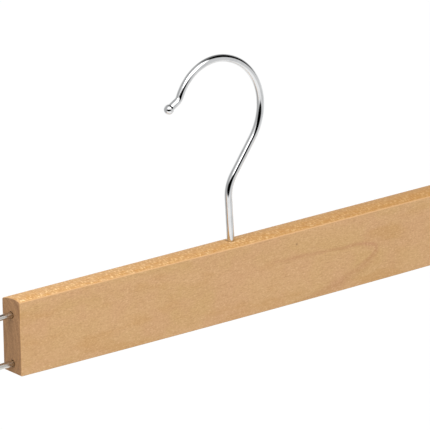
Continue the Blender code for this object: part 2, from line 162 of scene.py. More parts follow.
def rounded(corners: list[Vector], radius: float, step: float = 6.0) -> list[Vector]:
    """Replace the inner corners of an open line with arcs of one radius.

    Args:
        corners: Corners of the line, ends included.
        radius: Radius of every arc.
        step: Largest turn between two points of an arc, in degrees.

    Returns:
        The points of the rounded line.
    """
    points = [corners[0]]
    for before, corner, after in zip(corners, corners[1:], corners[2:]):
        arriving = (corner - before).normalized()
        leaving = (after - corner).normalized()
        turn = math.atan2(arriving.cross(leaving), arriving.dot(leaving))
        tangent = radius * math.tan(abs(turn) / 2)
        pen = Pen(corner - arriving * tangent, math.atan2(arriving.y, arriving.x), step)
        pen.arc(radius, turn)
        points.extend(pen.points)
    points.append(corners[-1])
    return points


def mesh_from(bm: BMesh, name: str) -> Mesh:
    """Turn a bmesh into a mesh that is smooth between its sharp edges.

    Args:
        bm: The bmesh, which is freed.
        name: Name of the mesh.

    Returns:
        The mesh.
    """
    bmesh.ops.recalc_face_normals(bm, faces=bm.faces)
    mesh = bpy.data.meshes.new(name)
    bm.to_mesh(mesh)
    bm.free()
    mesh.shade_smooth()
    mesh.set_sharp_from_angle(angle=SHARP)
    return mesh


def skin(bm: BMesh, rows: list[list[BMVert]], closed: bool = False) -> None:
    """Join rows of points with faces.

    Args:
        bm: Mesh that the faces go into.
        rows: Rows, each with the same number of points.
        closed: Join each row's last point with its first one too.
    """
    for row, following in zip(rows, rows[1:]):
        for index in range(len(row) if closed else len(row) - 1):
            after = (index + 1) % len(row)
            bm.faces.new((row[index], row[after], following[after], following[index]))


def tube_mesh(name: str, points: list[Vector], radii: list[float], sides: int = 24) -> Mesh:
    """Make a round bar along a line, with its own radius at each point.

    Args:
        name: Name of the mesh.
        points: Middle line.
        radii: Radius at each point.
        sides: Faces round the bar.

    Returns:
        The mesh, closed at both ends.
    """
    tangents = []
    for index in range(len(points)):
        after = points[min(index + 1, len(points) - 1)]
        before = points[max(index - 1, 0)]
        tangents.append((after - before).normalized())
    across = tangents[0].orthogonal().normalized()
    bm = bmesh.new()
    rings = []
    for index, (point, radius) in enumerate(zip(points, radii)):
        if index:
            across = tangents[index - 1].rotation_difference(tangents[index]) @ across
        ring = []
        for side in range(sides):
            spoke = Quaternion(tangents[index], 2 * math.pi * side / sides) @ across
            ring.append(bm.verts.new(point + spoke * radius))
        rings.append(ring)
    skin(bm, rings, closed=True)
    bm.faces.new(rings[0][::-1])
    bm.faces.new(rings[-1])
    return mesh_from(bm, name)


def turned_mesh(name: str, profile: list[Vector], place: Vector, axis: Vector) -> Mesh:
    """Turn a closed profile round an axis.

    Args:
        name: Name of the mesh.
        profile: Points of (radius, height along the axis).
        place: Foot of the axis.
        axis: Direction of the axis, of length one.

    Returns:
        The mesh.
    """
    across = axis.orthogonal().normalized()
    bm = bmesh.new()
    rings = []
    for side in range(TURNED_SIDES):
        spoke = Quaternion(axis, 2 * math.pi * side / TURNED_SIDES) @ across
        ring = [bm.verts.new(place + spoke * point.x + axis * point.y) for point in profile]
        rings.append(ring)
    skin(bm, rings + rings[:1], closed=True)
    return mesh_from(bm, name)


def drill_mesh(name: str, profile: list[tuple[float, float]], place: Vector, axis: Vector) -> Mesh:
    """Turn a profile whose ends lie on the axis, as a drill for a bore.

    Args:
        name: Name of the mesh.
        profile: Points of (radius, height along the axis).
        place: Foot of the axis.
        axis: Direction of the axis, of length one.

    Returns:
        The drill, with its points on the axis welded.
    """
    bm = bmesh.new()
    bm.from_mesh(turned_mesh(name, [Vector(point) for point in profile], place, axis))
    bmesh.ops.remove_doubles(bm, verts=bm.verts, dist=WELD)
    return mesh_from(bm, name)


def prism_mesh(name: str, outline: list[Vector], low: float, high: float) -> Mesh:
    """Extrude a closed outline in the YZ plane along X.

    Args:
        name: Name of the mesh.
        outline: Points of (y, z).
        low: X of the first end.
        high: X of the other end.

    Returns:
        The mesh.
    """
    bm = bmesh.new()
    base = bm.faces.new([bm.verts.new((low, point.x, point.y)) for point in outline])
    grown = bmesh.ops.extrude_face_region(bm, geom=[base])
    moved = [item for item in grown["geom"] if isinstance(item, BMVert)]
    bmesh.ops.translate(bm, verts=moved, vec=(high - low, 0, 0))
    return mesh_from(bm, name)


def way_to(azimuth: float, elevation: float) -> Vector:
    """Direction of length one.

    Args:
        azimuth: Degrees from +Y towards +X.
        elevation: Degrees above the horizon.

    Returns:
        The direction.
    """
    turn = math.radians(azimuth)
    rise = math.radians(elevation)
    level = math.cos(rise)
    return Vector((math.sin(turn) * level, math.cos(turn) * level, math.sin(rise)))


def add_piece(name: str, data: ID) -> Object:
    """Link a mesh, a lamp or a camera to the scene as an object at the origin.

    Args:
        name: Name of the object.
        data: The mesh, lamp or camera.

    Returns:
        The object.
    """
    piece = bpy.data.objects.new(name, data)
    bpy.context.scene.collection.objects.link(piece)
    return piece


def bevel(piece: Object, width: float, segments: int, limit: float = 30.0) -> None:
    """Round the edges of a piece that turn by more than a limit.

    Args:
        piece: The piece.
        width: Width of the round.
        segments: Faces across it.
        limit: Least turn of a rounded edge, in degrees.
    """
    modifier = piece.modifiers.new("edges", "BEVEL")
    modifier.width = width
    modifier.segments = segments
    modifier.limit_method = "ANGLE"
    modifier.angle_limit = math.radians(limit)


def cut(piece: Object, cutters: list[Mesh]) -> None:
    """Take shapes out of a piece and settle its modifiers into its mesh.

    Args:
        piece: The piece, with the modifiers that come before the cuts.
        cutters: Meshes of the shapes, which are used up.
    """
    tools = []
    for index, mesh in enumerate(cutters):
        tool = add_piece(f"{piece.name}_cutter_{index}", mesh)
        modifier = piece.modifiers.new(tool.name, "BOOLEAN")
        modifier.operation = "DIFFERENCE"
        modifier.object = tool
        tools.append(tool)
    settle(piece)
    for tool in tools:
        bpy.data.objects.remove(tool)


def settle(piece: Object) -> None:
    """Apply a piece's modifiers and let its flat faces rule the shading beside them.

    Args:
        piece: The piece.
    """
    graph = bpy.context.evaluated_depsgraph_get()
    mesh = bpy.data.meshes.new_from_object(piece.evaluated_get(graph))
    piece.modifiers.clear()
    piece.data = mesh
    mesh.shade_smooth()
    mesh.set_sharp_from_angle(angle=SHARP)
    weighted = piece.modifiers.new("flat_faces", "WEIGHTED_NORMAL")
    weighted.keep_sharp = True


def seat(piece: Object, body: str, slot: Slot, material: Material, *nodes: str) -> None:
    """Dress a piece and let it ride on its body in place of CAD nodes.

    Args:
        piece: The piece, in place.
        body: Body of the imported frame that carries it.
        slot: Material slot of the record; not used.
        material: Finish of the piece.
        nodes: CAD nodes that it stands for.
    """
    piece.data.materials.clear()
    piece.data.materials.append(material)
    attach(piece, body)
    if nodes:
        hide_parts(*nodes)
    log.info("%s: %d faces, rides on %s", piece.name, len(piece.data.polygons), body)


def linear(code: str) -> tuple[float, float, float, float]:
    """Turn an sRGB hex colour into linear light.

    Args:
        code: Six hex digits, such as "CFA476".

    Returns:
        Linear red, green and blue, and an alpha of one.
    """
    levels = []
    for start in (0, 2, 4):
        share = int(code[start:start + 2], 16) / 255
        low = share / 12.92
        high = ((share + 0.055) / 1.055) ** 2.4
        levels.append(low if share <= 0.04045 else high)
    return (*levels, 1.0)


def set_inputs(tree: NodeTree, node: Node, inputs: dict | tuple) -> None:
    """Give a node's inputs their values and links.

    Args:
        tree: Node tree that the node is in.
        node: The node.
        inputs: What each input gets, in order or by its name or number: a value, a hex colour,
            an output socket, or a node, which stands for its first live output.
    """
    for key, value in inputs.items() if isinstance(inputs, dict) else enumerate(inputs):
        if isinstance(value, Node):
            value = next(output for output in value.outputs if output.enabled)
        if isinstance(value, NodeSocket):
            tree.links.new(value, node.inputs[key])
        else:
            node.inputs[key].default_value = linear(value) if isinstance(value, str) else value


def add_node(tree: NodeTree, kind: str, inputs: dict | tuple = (), **settings: object) -> Node:
    """Add a node with its settings and links.

    Args:
        tree: Node tree that it goes into.
        kind: Blender's name of the node.
        inputs: What its inputs get, as set_inputs takes it.
        settings: Properties of the node.

    Returns:
        The node.
    """
    node = tree.nodes.new(kind)
    for name, value in settings.items():
        setattr(node, name, value)
    set_inputs(tree, node, inputs)
    return node


def new_material(name: str) -> tuple[Material, NodeTree, Node]:
    """Make a material with an empty Principled shader.

    Args:
        name: Name of the material.

    Returns:
        The material, its node tree and its Principled shader.
    """
    material = bpy.data.materials.new(name)
    material.use_nodes = True
    tree = material.node_tree
    return material, tree, tree.nodes["Principled BSDF"]


def bare_material(name: str) -> tuple[Material, NodeTree]:
    """Make a material without any node.

    Args:
        name: Name of the material.

    Returns:
        The material and its node tree.
    """
    material, tree, _ = new_material(name)
    tree.nodes.clear()
    return material, tree


@dataclass(frozen=True)
class Layer:
    """Colour laid over the wood as a pattern's level crosses a span, up to a strength."""

    colour: str
    span: tuple[float, float]
    strength: float | Node = 1.0
    soft: bool = True


@dataclass(frozen=True)
class LacqueredBeech:
    """Steamed beech, planed, sanded and sprayed with a thin matt lacquer.

    To the eye it is a warm tan with a dense speckle of short ray flecks, one faint ring that
    closes in an arch on the flat-sawn front, golden flecks on the quarter-sawn top, and darker,
    redder end grain with its rings standing as fine streaks.
    """

    front_face: float
    edge_height: float
    pale: str = "CBA172"
    warm_ring: Layer = Layer("C79F6C", (0.30, 0.70), soft=False)
    rosy_patch: Layer = Layer("C99C72", (0.38, 0.66), 0.70)
    ochre_cloud: Layer = Layer("C0935C", (0.48, 0.68), 0.60)
    dark_fleck: Layer = Layer("A37745", (0.50, 0.80), 0.42)
    pale_fleck: Layer = Layer("E9C69B", (0.50, 0.20), 0.42)
    dark_pore: Layer = Layer("A37745", (0.52, 0.80), 0.35)
    ring_brown: str = "AB7150"
    speck_brown: str = "6E4A2E"
    # Painted highlight: a paler line laid on the rounded edges of the long faces, top and bottom.
    painted_edge_highlight: str = "D3A777"
    top_gold: str = "C6904B"
    # Painted shade: the top and underside fade to this darker tone towards the right end.
    top_painted_shade: str = "B58344"
    top_pore: Layer = Layer("CBA172", (0.35, 0.65), soft=False)
    top_fleck: Layer = Layer("A56D33", (0.50, 0.78), 0.40)
    top_flake: Layer = Layer("F1CF9A", (0.50, 0.25))
    end_brown: str = "B4895F"
    end_ring: Layer = Layer("8A6445", (0.35, 0.65), soft=False)
    end_pore: Layer = Layer("8A6445", (0.42, 0.74), 0.75)
    end_evenness: float = 0.45
    # Slant of the normal where the painted edge highlight starts and where it is full.
    highlight_turn: tuple[float, float] = (0.15, 0.45)
    top_turn: tuple[float, float] = (0.62, 0.87)
    end_turn: tuple[float, float] = (0.80, 0.98)
    pith_depth: float = 40 * MM
    pith_slope: float = 0.045
    pith_drop: float = 21 * MM
    arch_tip: tuple[float, float] = (80.9 * MM, 18.3 * MM)
    arch_curve: float = 1.15 * MM
    arch_flare: float = 0.78
    arch_tilt: float = 0.095
    arch_fade: tuple[float, float] = (10 * MM, 42 * MM)
    arch_wobble: float = 3.5 * MM
    arch_wobble_size: float = 16 * MM
    limb_slopes: tuple[float, float] = (-6.0, 1.0)
    limb_width: tuple[float, float] = (3.2 * MM, 1.5 * MM)
    limb_share: tuple[float, float] = (0.60, 0.85)
    ring_spacing: float = 2.6 * MM
    warp: float = 5 * MM
    warp_size: float = 45 * MM
    cloud_size: tuple[float, float, float] = (28 * MM, 12 * MM, 9 * MM)
    patch_size: tuple[float, float, float] = (17 * MM, 15 * MM, 14 * MM)
    fleck_size: tuple[float, float, float] = (1.0 * MM, 1.6 * MM, 0.55 * MM)
    # Beech has pores under 0.1 mm wide, too fine to show, so they are drawn this coarse.
    pore_size: tuple[float, float, float] = (5 * MM, 0.45 * MM, 0.45 * MM)
    end_pore_size: tuple[float, float, float] = (2 * MM, 0.55 * MM, 0.7 * MM)
    flake_reach: float = 125 * MM
    # Share of the gold and of the flakes at the left and right ends; where it falls, the top takes
    # its painted shade.
    flake_and_light_share: tuple[float, float] = (1.0, 0.30)
    speck_place: tuple[float, float] = (33.5 * MM, 5.9 * MM)
    speck_size: float = 0.9 * MM
    speck_share: float = 0.6
    rough_span: tuple[float, float] = (0.3, 0.7)
    roughness: tuple[float, float] = (0.50, 0.62)
    pore_strength: float = 0.35
    pore_depth: float = 0.06 * MM
    refraction: float = 1.5
    gloss: float = 0.30

    def material(self) -> Material:
        """Build the wood from growth rings round a slanted pith, ray flecks, pores and clouds.

        Returns:
            The material.
        """
        material, tree, shader = new_material("lacquered_beech")
        place = add_node(tree, "ShaderNodeTexCoord")
        radius = self.ring_radius(tree, place)
        count = add_node(tree, "ShaderNodeMath", (radius, 1 / self.ring_spacing),
                         operation="MULTIPLY")
        rings = add_node(tree, "ShaderNodeTexNoise", {"W": count, "Scale": 1.0, "Detail": 3.0},
                         noise_dimensions="1D")
        clouds = self.stretched_noise(tree, place, self.cloud_size, detail=3.0)
        patches = self.stretched_noise(tree, place, self.patch_size, detail=2.0)
        flecks = self.stretched_noise(tree, place, self.fleck_size, detail=2.0)
        pores = self.stretched_noise(tree, place, self.pore_size, detail=2.0)

        tint = self.stack(tree, self.pale, [
            (rings, self.warm_ring),
            (patches, self.rosy_patch),
            (clouds, self.ochre_cloud),
            (self.dark_ring(tree, place, clouds), self.ring_brown),
            (flecks, self.dark_fleck),
            (flecks, self.pale_fleck),
            (pores, self.dark_pore),
            (self.speck(tree, place), self.speck_brown),
            # The rounded long edges take the painted highlight.
            (self.facing(tree, place, "Z", self.highlight_turn), self.painted_edge_highlight),
            (self.facing(tree, place, "Z", self.top_turn),
             self.quarter_sawn(tree, place, flecks, pores)),
            (self.facing(tree, place, "X", self.end_turn), self.end_grain(tree, place, rings)),
        ])
        rough = add_node(tree, "ShaderNodeMapRange", (pores, *self.rough_span, *self.roughness))
        relief = add_node(tree, "ShaderNodeBump",
                          {"Height": pores, "Strength": self.pore_strength,
                           "Distance": self.pore_depth})
        set_inputs(tree, shader, {"Base Color": tint, "Roughness": rough, "Normal": relief,
                                  "IOR": self.refraction, "Specular IOR Level": self.gloss})
        return material

    def wandering(
        self, tree: NodeTree, place: Node, size: float, reach: float, detail: float
    ) -> NodeOutputs:
        """Push the position about with a noise, since no ring in wood runs true.

        Args:
            tree: Node tree of the wood.
            place: Texture coordinates.
            size: Size of the noise in metres.
            reach: How far it pushes at most, both ways together, in metres.
            detail: Number of its finer layers.

        Returns:
            The X, Y and Z sockets of the moved position.
        """
        straight = place.outputs["Object"]
        wobble = add_node(tree, "ShaderNodeTexNoise",
                          {"Vector": straight, "Scale": 1 / size, "Detail": detail})
        offset = add_node(tree, "ShaderNodeVectorMath", (wobble.outputs["Color"], (0.5,) * 3),
                          operation="SUBTRACT")
        moved = add_node(tree, "ShaderNodeVectorMath", (offset, (reach,) * 3, straight),
                         operation="MULTIPLY_ADD")
        return add_node(tree, "ShaderNodeSeparateXYZ", (moved,)).outputs

    def ring_radius(self, tree: NodeTree, place: Node) -> Node:
        """Distance from the pith, which lies behind the front face and slants towards it.

        Args:
            tree: Node tree of the wood.
            place: Texture coordinates.

        Returns:
            The node with the distance in metres.
        """
        parts = self.wandering(tree, place, self.warp_size, self.warp, detail=2.0)
        start = self.front_face + self.pith_depth - self.pith_slope * self.arch_tip[0]
        depth = add_node(tree, "ShaderNodeMath", (parts["X"], self.pith_slope, start),
                         operation="MULTIPLY_ADD")
        across = add_node(tree, "ShaderNodeMath", (depth, parts["Y"]), operation="SUBTRACT")
        height = add_node(tree, "ShaderNodeMath", (parts["Z"], self.edge_height - self.pith_drop),
                          operation="SUBTRACT")
        spoke = add_node(tree, "ShaderNodeCombineXYZ", {"Y": across, "Z": height})
        return add_node(tree, "ShaderNodeVectorMath", (spoke,), operation="LENGTH")

    def dark_ring(self, tree: NodeTree, place: Node, clouds: Node) -> Node:
        """Share of the one late-wood ring that shows, which closes in an arch on the front.

        The arch is a parabola along the bar. Its height above the curve, divided by the length of
        its slope, is the distance to it, so that the line is as thin at the tip as on the limbs.
        The lower limb is cut flatter: it lies further out, and is broader and fainter.

        Args:
            tree: Node tree of the wood.
            place: Texture coordinates.
            clouds: Clouds that make the ring uneven.

        Returns:
            The node with the share.
        """
        parts = self.wandering(tree, place, self.arch_wobble_size, self.arch_wobble, detail=3.0)
        middle = self.edge_height - self.arch_tip[1] - self.arch_tilt * self.arch_tip[0]
        axis = add_node(tree, "ShaderNodeMath", (parts["X"], self.arch_tilt, middle),
                        operation="MULTIPLY_ADD")
        rise = add_node(tree, "ShaderNodeMath", (parts["Z"], axis), operation="SUBTRACT")
        slope = add_node(tree, "ShaderNodeMath", (rise, 1 / self.arch_curve),
                         operation="MULTIPLY")
        flared = add_node(tree, "ShaderNodeMath", (slope, self.arch_flare), operation="MULTIPLY")
        slope = add_node(tree, "ShaderNodeMath", (slope, flared), operation="MAXIMUM")
        square = add_node(tree, "ShaderNodeMath", (slope, slope), operation="MULTIPLY")
        curve = add_node(tree, "ShaderNodeMath", (square, self.arch_curve / 2, parts["X"]),
                         operation="MULTIPLY_ADD")
        off = add_node(tree, "ShaderNodeMath", (curve, self.arch_tip[0]), operation="SUBTRACT")
        above = add_node(tree, "ShaderNodeMath", (off,), operation="ABSOLUTE")
        steep = add_node(tree, "ShaderNodeMath", (square, 1.0), operation="ADD")
        length = add_node(tree, "ShaderNodeMath", (steep,), operation="SQRT")
        distance = add_node(tree, "ShaderNodeMath", (above, length), operation="DIVIDE")
        width, strength = (
            add_node(tree, "ShaderNodeMapRange", (slope, *self.limb_slopes, *reach))
            for reach in (self.limb_width, self.limb_share)
        )
        share = add_node(tree, "ShaderNodeMapRange", (distance, 0.0, width, strength, 0.0),
                         interpolation_type="SMOOTHSTEP")
        uneven = add_node(tree, "ShaderNodeMath", (share, clouds), operation="MULTIPLY")
        fade = add_node(tree, "ShaderNodeMapRange", (parts["X"], *self.arch_fade),
                        interpolation_type="SMOOTHSTEP")
        return add_node(tree, "ShaderNodeMath", (uneven, fade), operation="MULTIPLY")

    def speck(self, tree: NodeTree, place: Node) -> Node:
        """Share of the small dark pin speck on the front, right of the stem.

        Args:
            tree: Node tree of the wood.
            place: Texture coordinates.

        Returns:
            The node with the share.
        """
        middle = (self.speck_place[0], self.front_face, self.edge_height - self.speck_place[1])
        away = add_node(tree, "ShaderNodeVectorMath", (place.outputs["Object"], middle),
                        operation="DISTANCE")
        return add_node(tree, "ShaderNodeMapRange",
                        (away, 0.0, self.speck_size, self.speck_share, 0.0),
                        interpolation_type="SMOOTHSTEP")

    def facing(
        self, tree: NodeTree, place: Node, axis: str, span: tuple[float, float]
    ) -> Node:
        """Share of the surface that faces along an axis, either way.

        Args:
            tree: Node tree of the wood.
            place: Texture coordinates.
            axis: X, Y or Z.
            span: Part of the normal along the axis where the share starts and is full.

        Returns:
            The node with the share.
        """
        parts = add_node(tree, "ShaderNodeSeparateXYZ", (place.outputs["Normal"],))
        along = add_node(tree, "ShaderNodeMath", (parts.outputs[axis],), operation="ABSOLUTE")
        return add_node(tree, "ShaderNodeMapRange", (along, *span),
                        interpolation_type="SMOOTHSTEP")

    def quarter_sawn(self, tree: NodeTree, place: Node, flecks: Node, pores: Node) -> Node:
        """Colour of the top and the underside, golden with pale ray flakes.

        The grain runs out a little along the bar, so its left end has the fullest flakes. Towards
        the right end it is also painted darker, as painted shade for the light falling off there,
        so its left end is the palest.

        Args:
            tree: Node tree of the wood.
            place: Texture coordinates.
            flecks: Pattern of the ray flecks.
            pores: Pattern of the pores.

        Returns:
            The node with the colour.
        """
        parts = add_node(tree, "ShaderNodeSeparateXYZ", (place.outputs["Object"],))
        # Share of gold and flakes along the bar; where it falls, the darker painted shade takes
        # over.
        full = add_node(tree, "ShaderNodeMapRange",
                        (parts.outputs["X"], -self.flake_reach, self.flake_reach,
                         *self.flake_and_light_share))
        return self.stack(tree, self.top_painted_shade, [
            (full, self.stack(tree, self.top_gold, [(pores, self.top_pore)])),
            (flecks, self.top_fleck),
            (flecks, replace(self.top_flake, strength=full)),
        ])

    def end_grain(self, tree: NodeTree, place: Node, rings: Node) -> Node:
        """Colour of the sawn ends, where the rings stand as streaks between open pores.

        Args:
            tree: Node tree of the wood.
            place: Texture coordinates.
            rings: Pattern of the growth rings.

        Returns:
            The node with the colour.
        """
        pores = self.stretched_noise(tree, place, self.end_pore_size, detail=3.0)
        return self.stack(tree, self.end_brown, [
            (rings, self.end_ring),
            (self.end_evenness, self.end_brown),
            (pores, self.end_pore),
        ])

    def stretched_noise(
        self, tree: NodeTree, place: Node, size: tuple[float, float, float], detail: float
    ) -> Node:
        """Noise with its own real size along each axis.

        Args:
            tree: Node tree of the wood.
            place: Texture coordinates.
            size: Size along X, Y and Z in metres.
            detail: Number of its finer layers.

        Returns:
            The node of the noise.
        """
        scale = tuple(1 / length for length in size)
        mapping = add_node(tree, "ShaderNodeMapping",
                           {"Vector": place.outputs["Object"], "Scale": scale})
        return add_node(tree, "ShaderNodeTexNoise",
                        {"Vector": mapping, "Scale": 1.0, "Detail": detail})

    def stack(
        self, tree: NodeTree, base: str, layers: list[tuple[Node | float, Layer | Node | str]]
    ) -> Node:
        """Lay colours over each other.

        Args:
            tree: Node tree of the wood.
            base: Colour at the bottom, as a hex code.
            layers: From the bottom up, a share with its colour, or a pattern with the layer that
                follows its level.

        Returns:
            The node with the colour.
        """
        tint = base
        for share, colour in layers:
            if isinstance(colour, Layer):
                share = add_node(tree, "ShaderNodeMapRange",
                                 (share, *colour.span, 0.0, colour.strength),
                                 interpolation_type="SMOOTHSTEP" if colour.soft else "LINEAR")
                colour = colour.colour
            tint = add_node(tree, "ShaderNodeMix", {0: share, 6: tint, 7: colour},
                            data_type="RGBA")
        return tint


@dataclass(frozen=True)
class BrightMetal:
    """Wire or sheet steel, plated or bare.

    The drawing or rolling of the steel shows as faint ripples, and handling leaves cloudy
    smudges in the gloss.
    """

    name: str
    tint: str
    smudge_tint: str
    roughness: float
    smudge: float
    smudge_size: float
    ripple_size: float
    ripple_height: float
    smudge_span: tuple[float, float] = (0.40, 0.70)
    smudge_raggedness: float = 0.6

    def material(self) -> Material:
        """Build the metal from smudges in its gloss and ripples in its surface.

        Returns:
            The material.
        """
        material, tree, shader = new_material(self.name)
        place = add_node(tree, "ShaderNodeTexCoord").outputs["Object"]
        smudges = add_node(tree, "ShaderNodeTexNoise",
                           {"Vector": place, "Scale": 1 / self.smudge_size, "Detail": 4.0,
                            "Roughness": self.smudge_raggedness})
        share = add_node(tree, "ShaderNodeMapRange", (smudges, *self.smudge_span),
                         interpolation_type="SMOOTHSTEP")
        rough = add_node(tree, "ShaderNodeMapRange",
                         (share, 0.0, 1.0, self.roughness, self.roughness + self.smudge))
        colour = add_node(tree, "ShaderNodeMix", {0: share, 6: self.tint, 7: self.smudge_tint},
                          data_type="RGBA")
        ripples = add_node(tree, "ShaderNodeTexNoise",
                           {"Vector": place, "Scale": 1 / self.ripple_size, "Detail": 1.0})
        relief = add_node(tree, "ShaderNodeBump",
                          {"Height": ripples, "Strength": 1.0, "Distance": self.ripple_height})
        set_inputs(tree, shader, {"Base Color": colour, "Roughness": rough, "Normal": relief,
                                  "Metallic": 1.0})
        return material


@dataclass(frozen=True)
class MouldedVinyl:
    """Black soft PVC, dipped or moulded, with the fine grain of its mould.

    It is matt, with a broad dull gloss on its ribs and greyer, duller clouds where it is worn.
    """

    black: str = "1B1B1D"
    worn: str = "303032"
    # A mould's own grain is too fine to show, so it is drawn coarser than it really is.
    grain_size: float = 0.35 * MM
    grain_height: float = 0.03 * MM
    grain_strength: float = 0.6
    wear_size: float = 4 * MM
    worn_span: tuple[float, float] = (0.45, 0.75)
    rough_span: tuple[float, float] = (0.3, 0.7)
    roughness: tuple[float, float] = (0.42, 0.60)
    refraction: float = 1.53

    def material(self) -> Material:
        """Build the vinyl from mould grain and worn clouds.

        Returns:
            The material.
        """
        material, tree, shader = new_material("moulded_black_vinyl")
        place = add_node(tree, "ShaderNodeTexCoord").outputs["Object"]
        grain, wear = (
            add_node(tree, "ShaderNodeTexNoise",
                     {"Vector": place, "Scale": 1 / size, "Detail": detail})
            for size, detail in ((self.grain_size, 2.0), (self.wear_size, 4.0))
        )
        share = add_node(tree, "ShaderNodeMapRange", (wear, *self.worn_span))
        colour = add_node(tree, "ShaderNodeMix", {0: share, 6: self.black, 7: self.worn},
                          data_type="RGBA")
        rough = add_node(tree, "ShaderNodeMapRange", (wear, *self.rough_span, *self.roughness))
        relief = add_node(tree, "ShaderNodeBump",
                          {"Height": grain, "Strength": self.grain_strength,
                           "Distance": self.grain_height})
        set_inputs(tree, shader, {"Base Color": colour, "Roughness": rough, "Normal": relief,
                                  "IOR": self.refraction})
        return material


@dataclass
class WoodenBar:
    """Flat-sided beech bar with a crowned top, a stem bore and two rail sockets at each end."""

    low: Vector
    high: Vector
    crown: float = 1.7 * MM
    edge_radius: float = 0.5 * MM
    end_rise: float = 0.6 * MM
    front_lift: float = 0.2 * MM
    front_rise: float = 0.9 * MM
    stem_bore: float = 1.86 * MM
    washer_bore: float = 4.55 * MM
    counterbore: float = 3.8 * MM
    socket_bore: float = 1.7 * MM
    socket_depth: float = 35.3 * MM
    rim: float = 0.10 * MM
    drill_lead: float = 3 * MM
    mouth_drop: float = 0.1 * MM
    bow_steps: int = 8
    rail_height: float = 5.2 * MM
    rail_spacing: float = 23.1 * MM

    @property
    def edge_height(self) -> float:
        """Height of the bar's two top edges, where the crown starts."""
        return self.high.z - self.crown

    @property
    def rail_heights(self) -> tuple[float, float]:
        """Heights of the lower and the upper rail leg."""
        lower = self.low.z + self.rail_height
        return lower, lower + self.rail_spacing

    def outline(self) -> list[Vector]:
        """Section of the bar, before its edges are rounded.

        Returns:
            Points of (y, z).
        """
        half = self.high.y
        radius = (half ** 2 + self.crown ** 2) / (2 * self.crown)
        angle = math.asin(half / radius)
        pen = Pen((half, self.edge_height), math.pi - angle, step=3.0)
        pen.arc(radius, 2 * angle)
        return [Vector((-half, self.low.z)), Vector((half, self.low.z)), *pen.points]

    def bowed(self, mesh: Mesh) -> Mesh:
        """Let the underside rise at both ends, and the front top edge towards the left one.

        The planing that the photograph shows is not even. It departs from the true section by
        1.1 mm at most.

        Args:
            mesh: The straight bar.

        Returns:
            The bowed one.
        """
        bm = bmesh.new()
        bm.from_mesh(mesh)
        for step in range(1, self.bow_steps):
            cut_at = self.low.x + (self.high.x - self.low.x) * step / self.bow_steps
            bmesh.ops.bisect_plane(bm, geom=[*bm.verts, *bm.edges, *bm.faces],
                                   plane_co=(cut_at, 0, 0), plane_no=(1, 0, 0))
        for vertex in bm.verts:
            along = vertex.co.x / self.high.x
            if vertex.co.z < self.low.z + MM:
                vertex.co.z += self.end_rise * along ** 2
            elif vertex.co.y < 0:
                lift = self.front_lift - self.front_rise * min(along, 0.0) * (2 + along)
                vertex.co.z += lift * -vertex.co.y / self.high.y
        return mesh_from(bm, mesh.name)

    def drill(self, name: str, place: Vector, axis: Vector, radius: float, depth: float) -> Mesh:
        """Make a drill that leaves a small broken edge at its mouth.

        Args:
            name: Name of the mesh.
            place: Middle of the bore's mouth, on the surface.
            axis: Direction into the wood.
            radius: Radius of the bore.
            depth: Depth of the bore.

        Returns:
            The drill.
        """
        profile = [(0.0, -self.drill_lead), (radius + self.rim, -self.drill_lead),
                   (radius + self.rim, 0.0), (radius, self.rim), (radius, depth), (0.0, depth)]
        return drill_mesh(name, profile, place, axis)

    def build(self, beech: Material) -> None:
        """Build the bar, drill it and dress it.

        Args:
            beech: Finish of the wood.
        """
        mesh = self.bowed(prism_mesh("beech_bar", self.outline(), self.low.x, self.high.x))
        bar = add_piece("beech_bar", mesh)
        bevel(bar, self.edge_radius, segments=5)
        up = Vector((0, 0, 1))
        along = Vector((1, 0, 0))
        top = Vector((0, 0, self.high.z - self.mouth_drop))
        bottom = Vector((0, 0, self.low.z))
        through = self.high.z - self.low.z + MM
        drills = [
            self.drill("stem_drill", top, -up, self.stem_bore, through),
            self.drill("head_drill", bottom, up, self.washer_bore, self.counterbore),
        ]
        for side in Side:
            end = self.low.x if side is Side.LEFT else self.high.x
            for height in self.rail_heights:
                place = Vector((end, 0, height))
                inward = -side.value * along
                drill = self.drill("socket_drill", place, inward, self.socket_bore,
                                   self.socket_depth)
                drills.append(drill)
        cut(bar, drills)
        seat(bar, "bar", Slot.WOOD, beech, "wooden_bar")


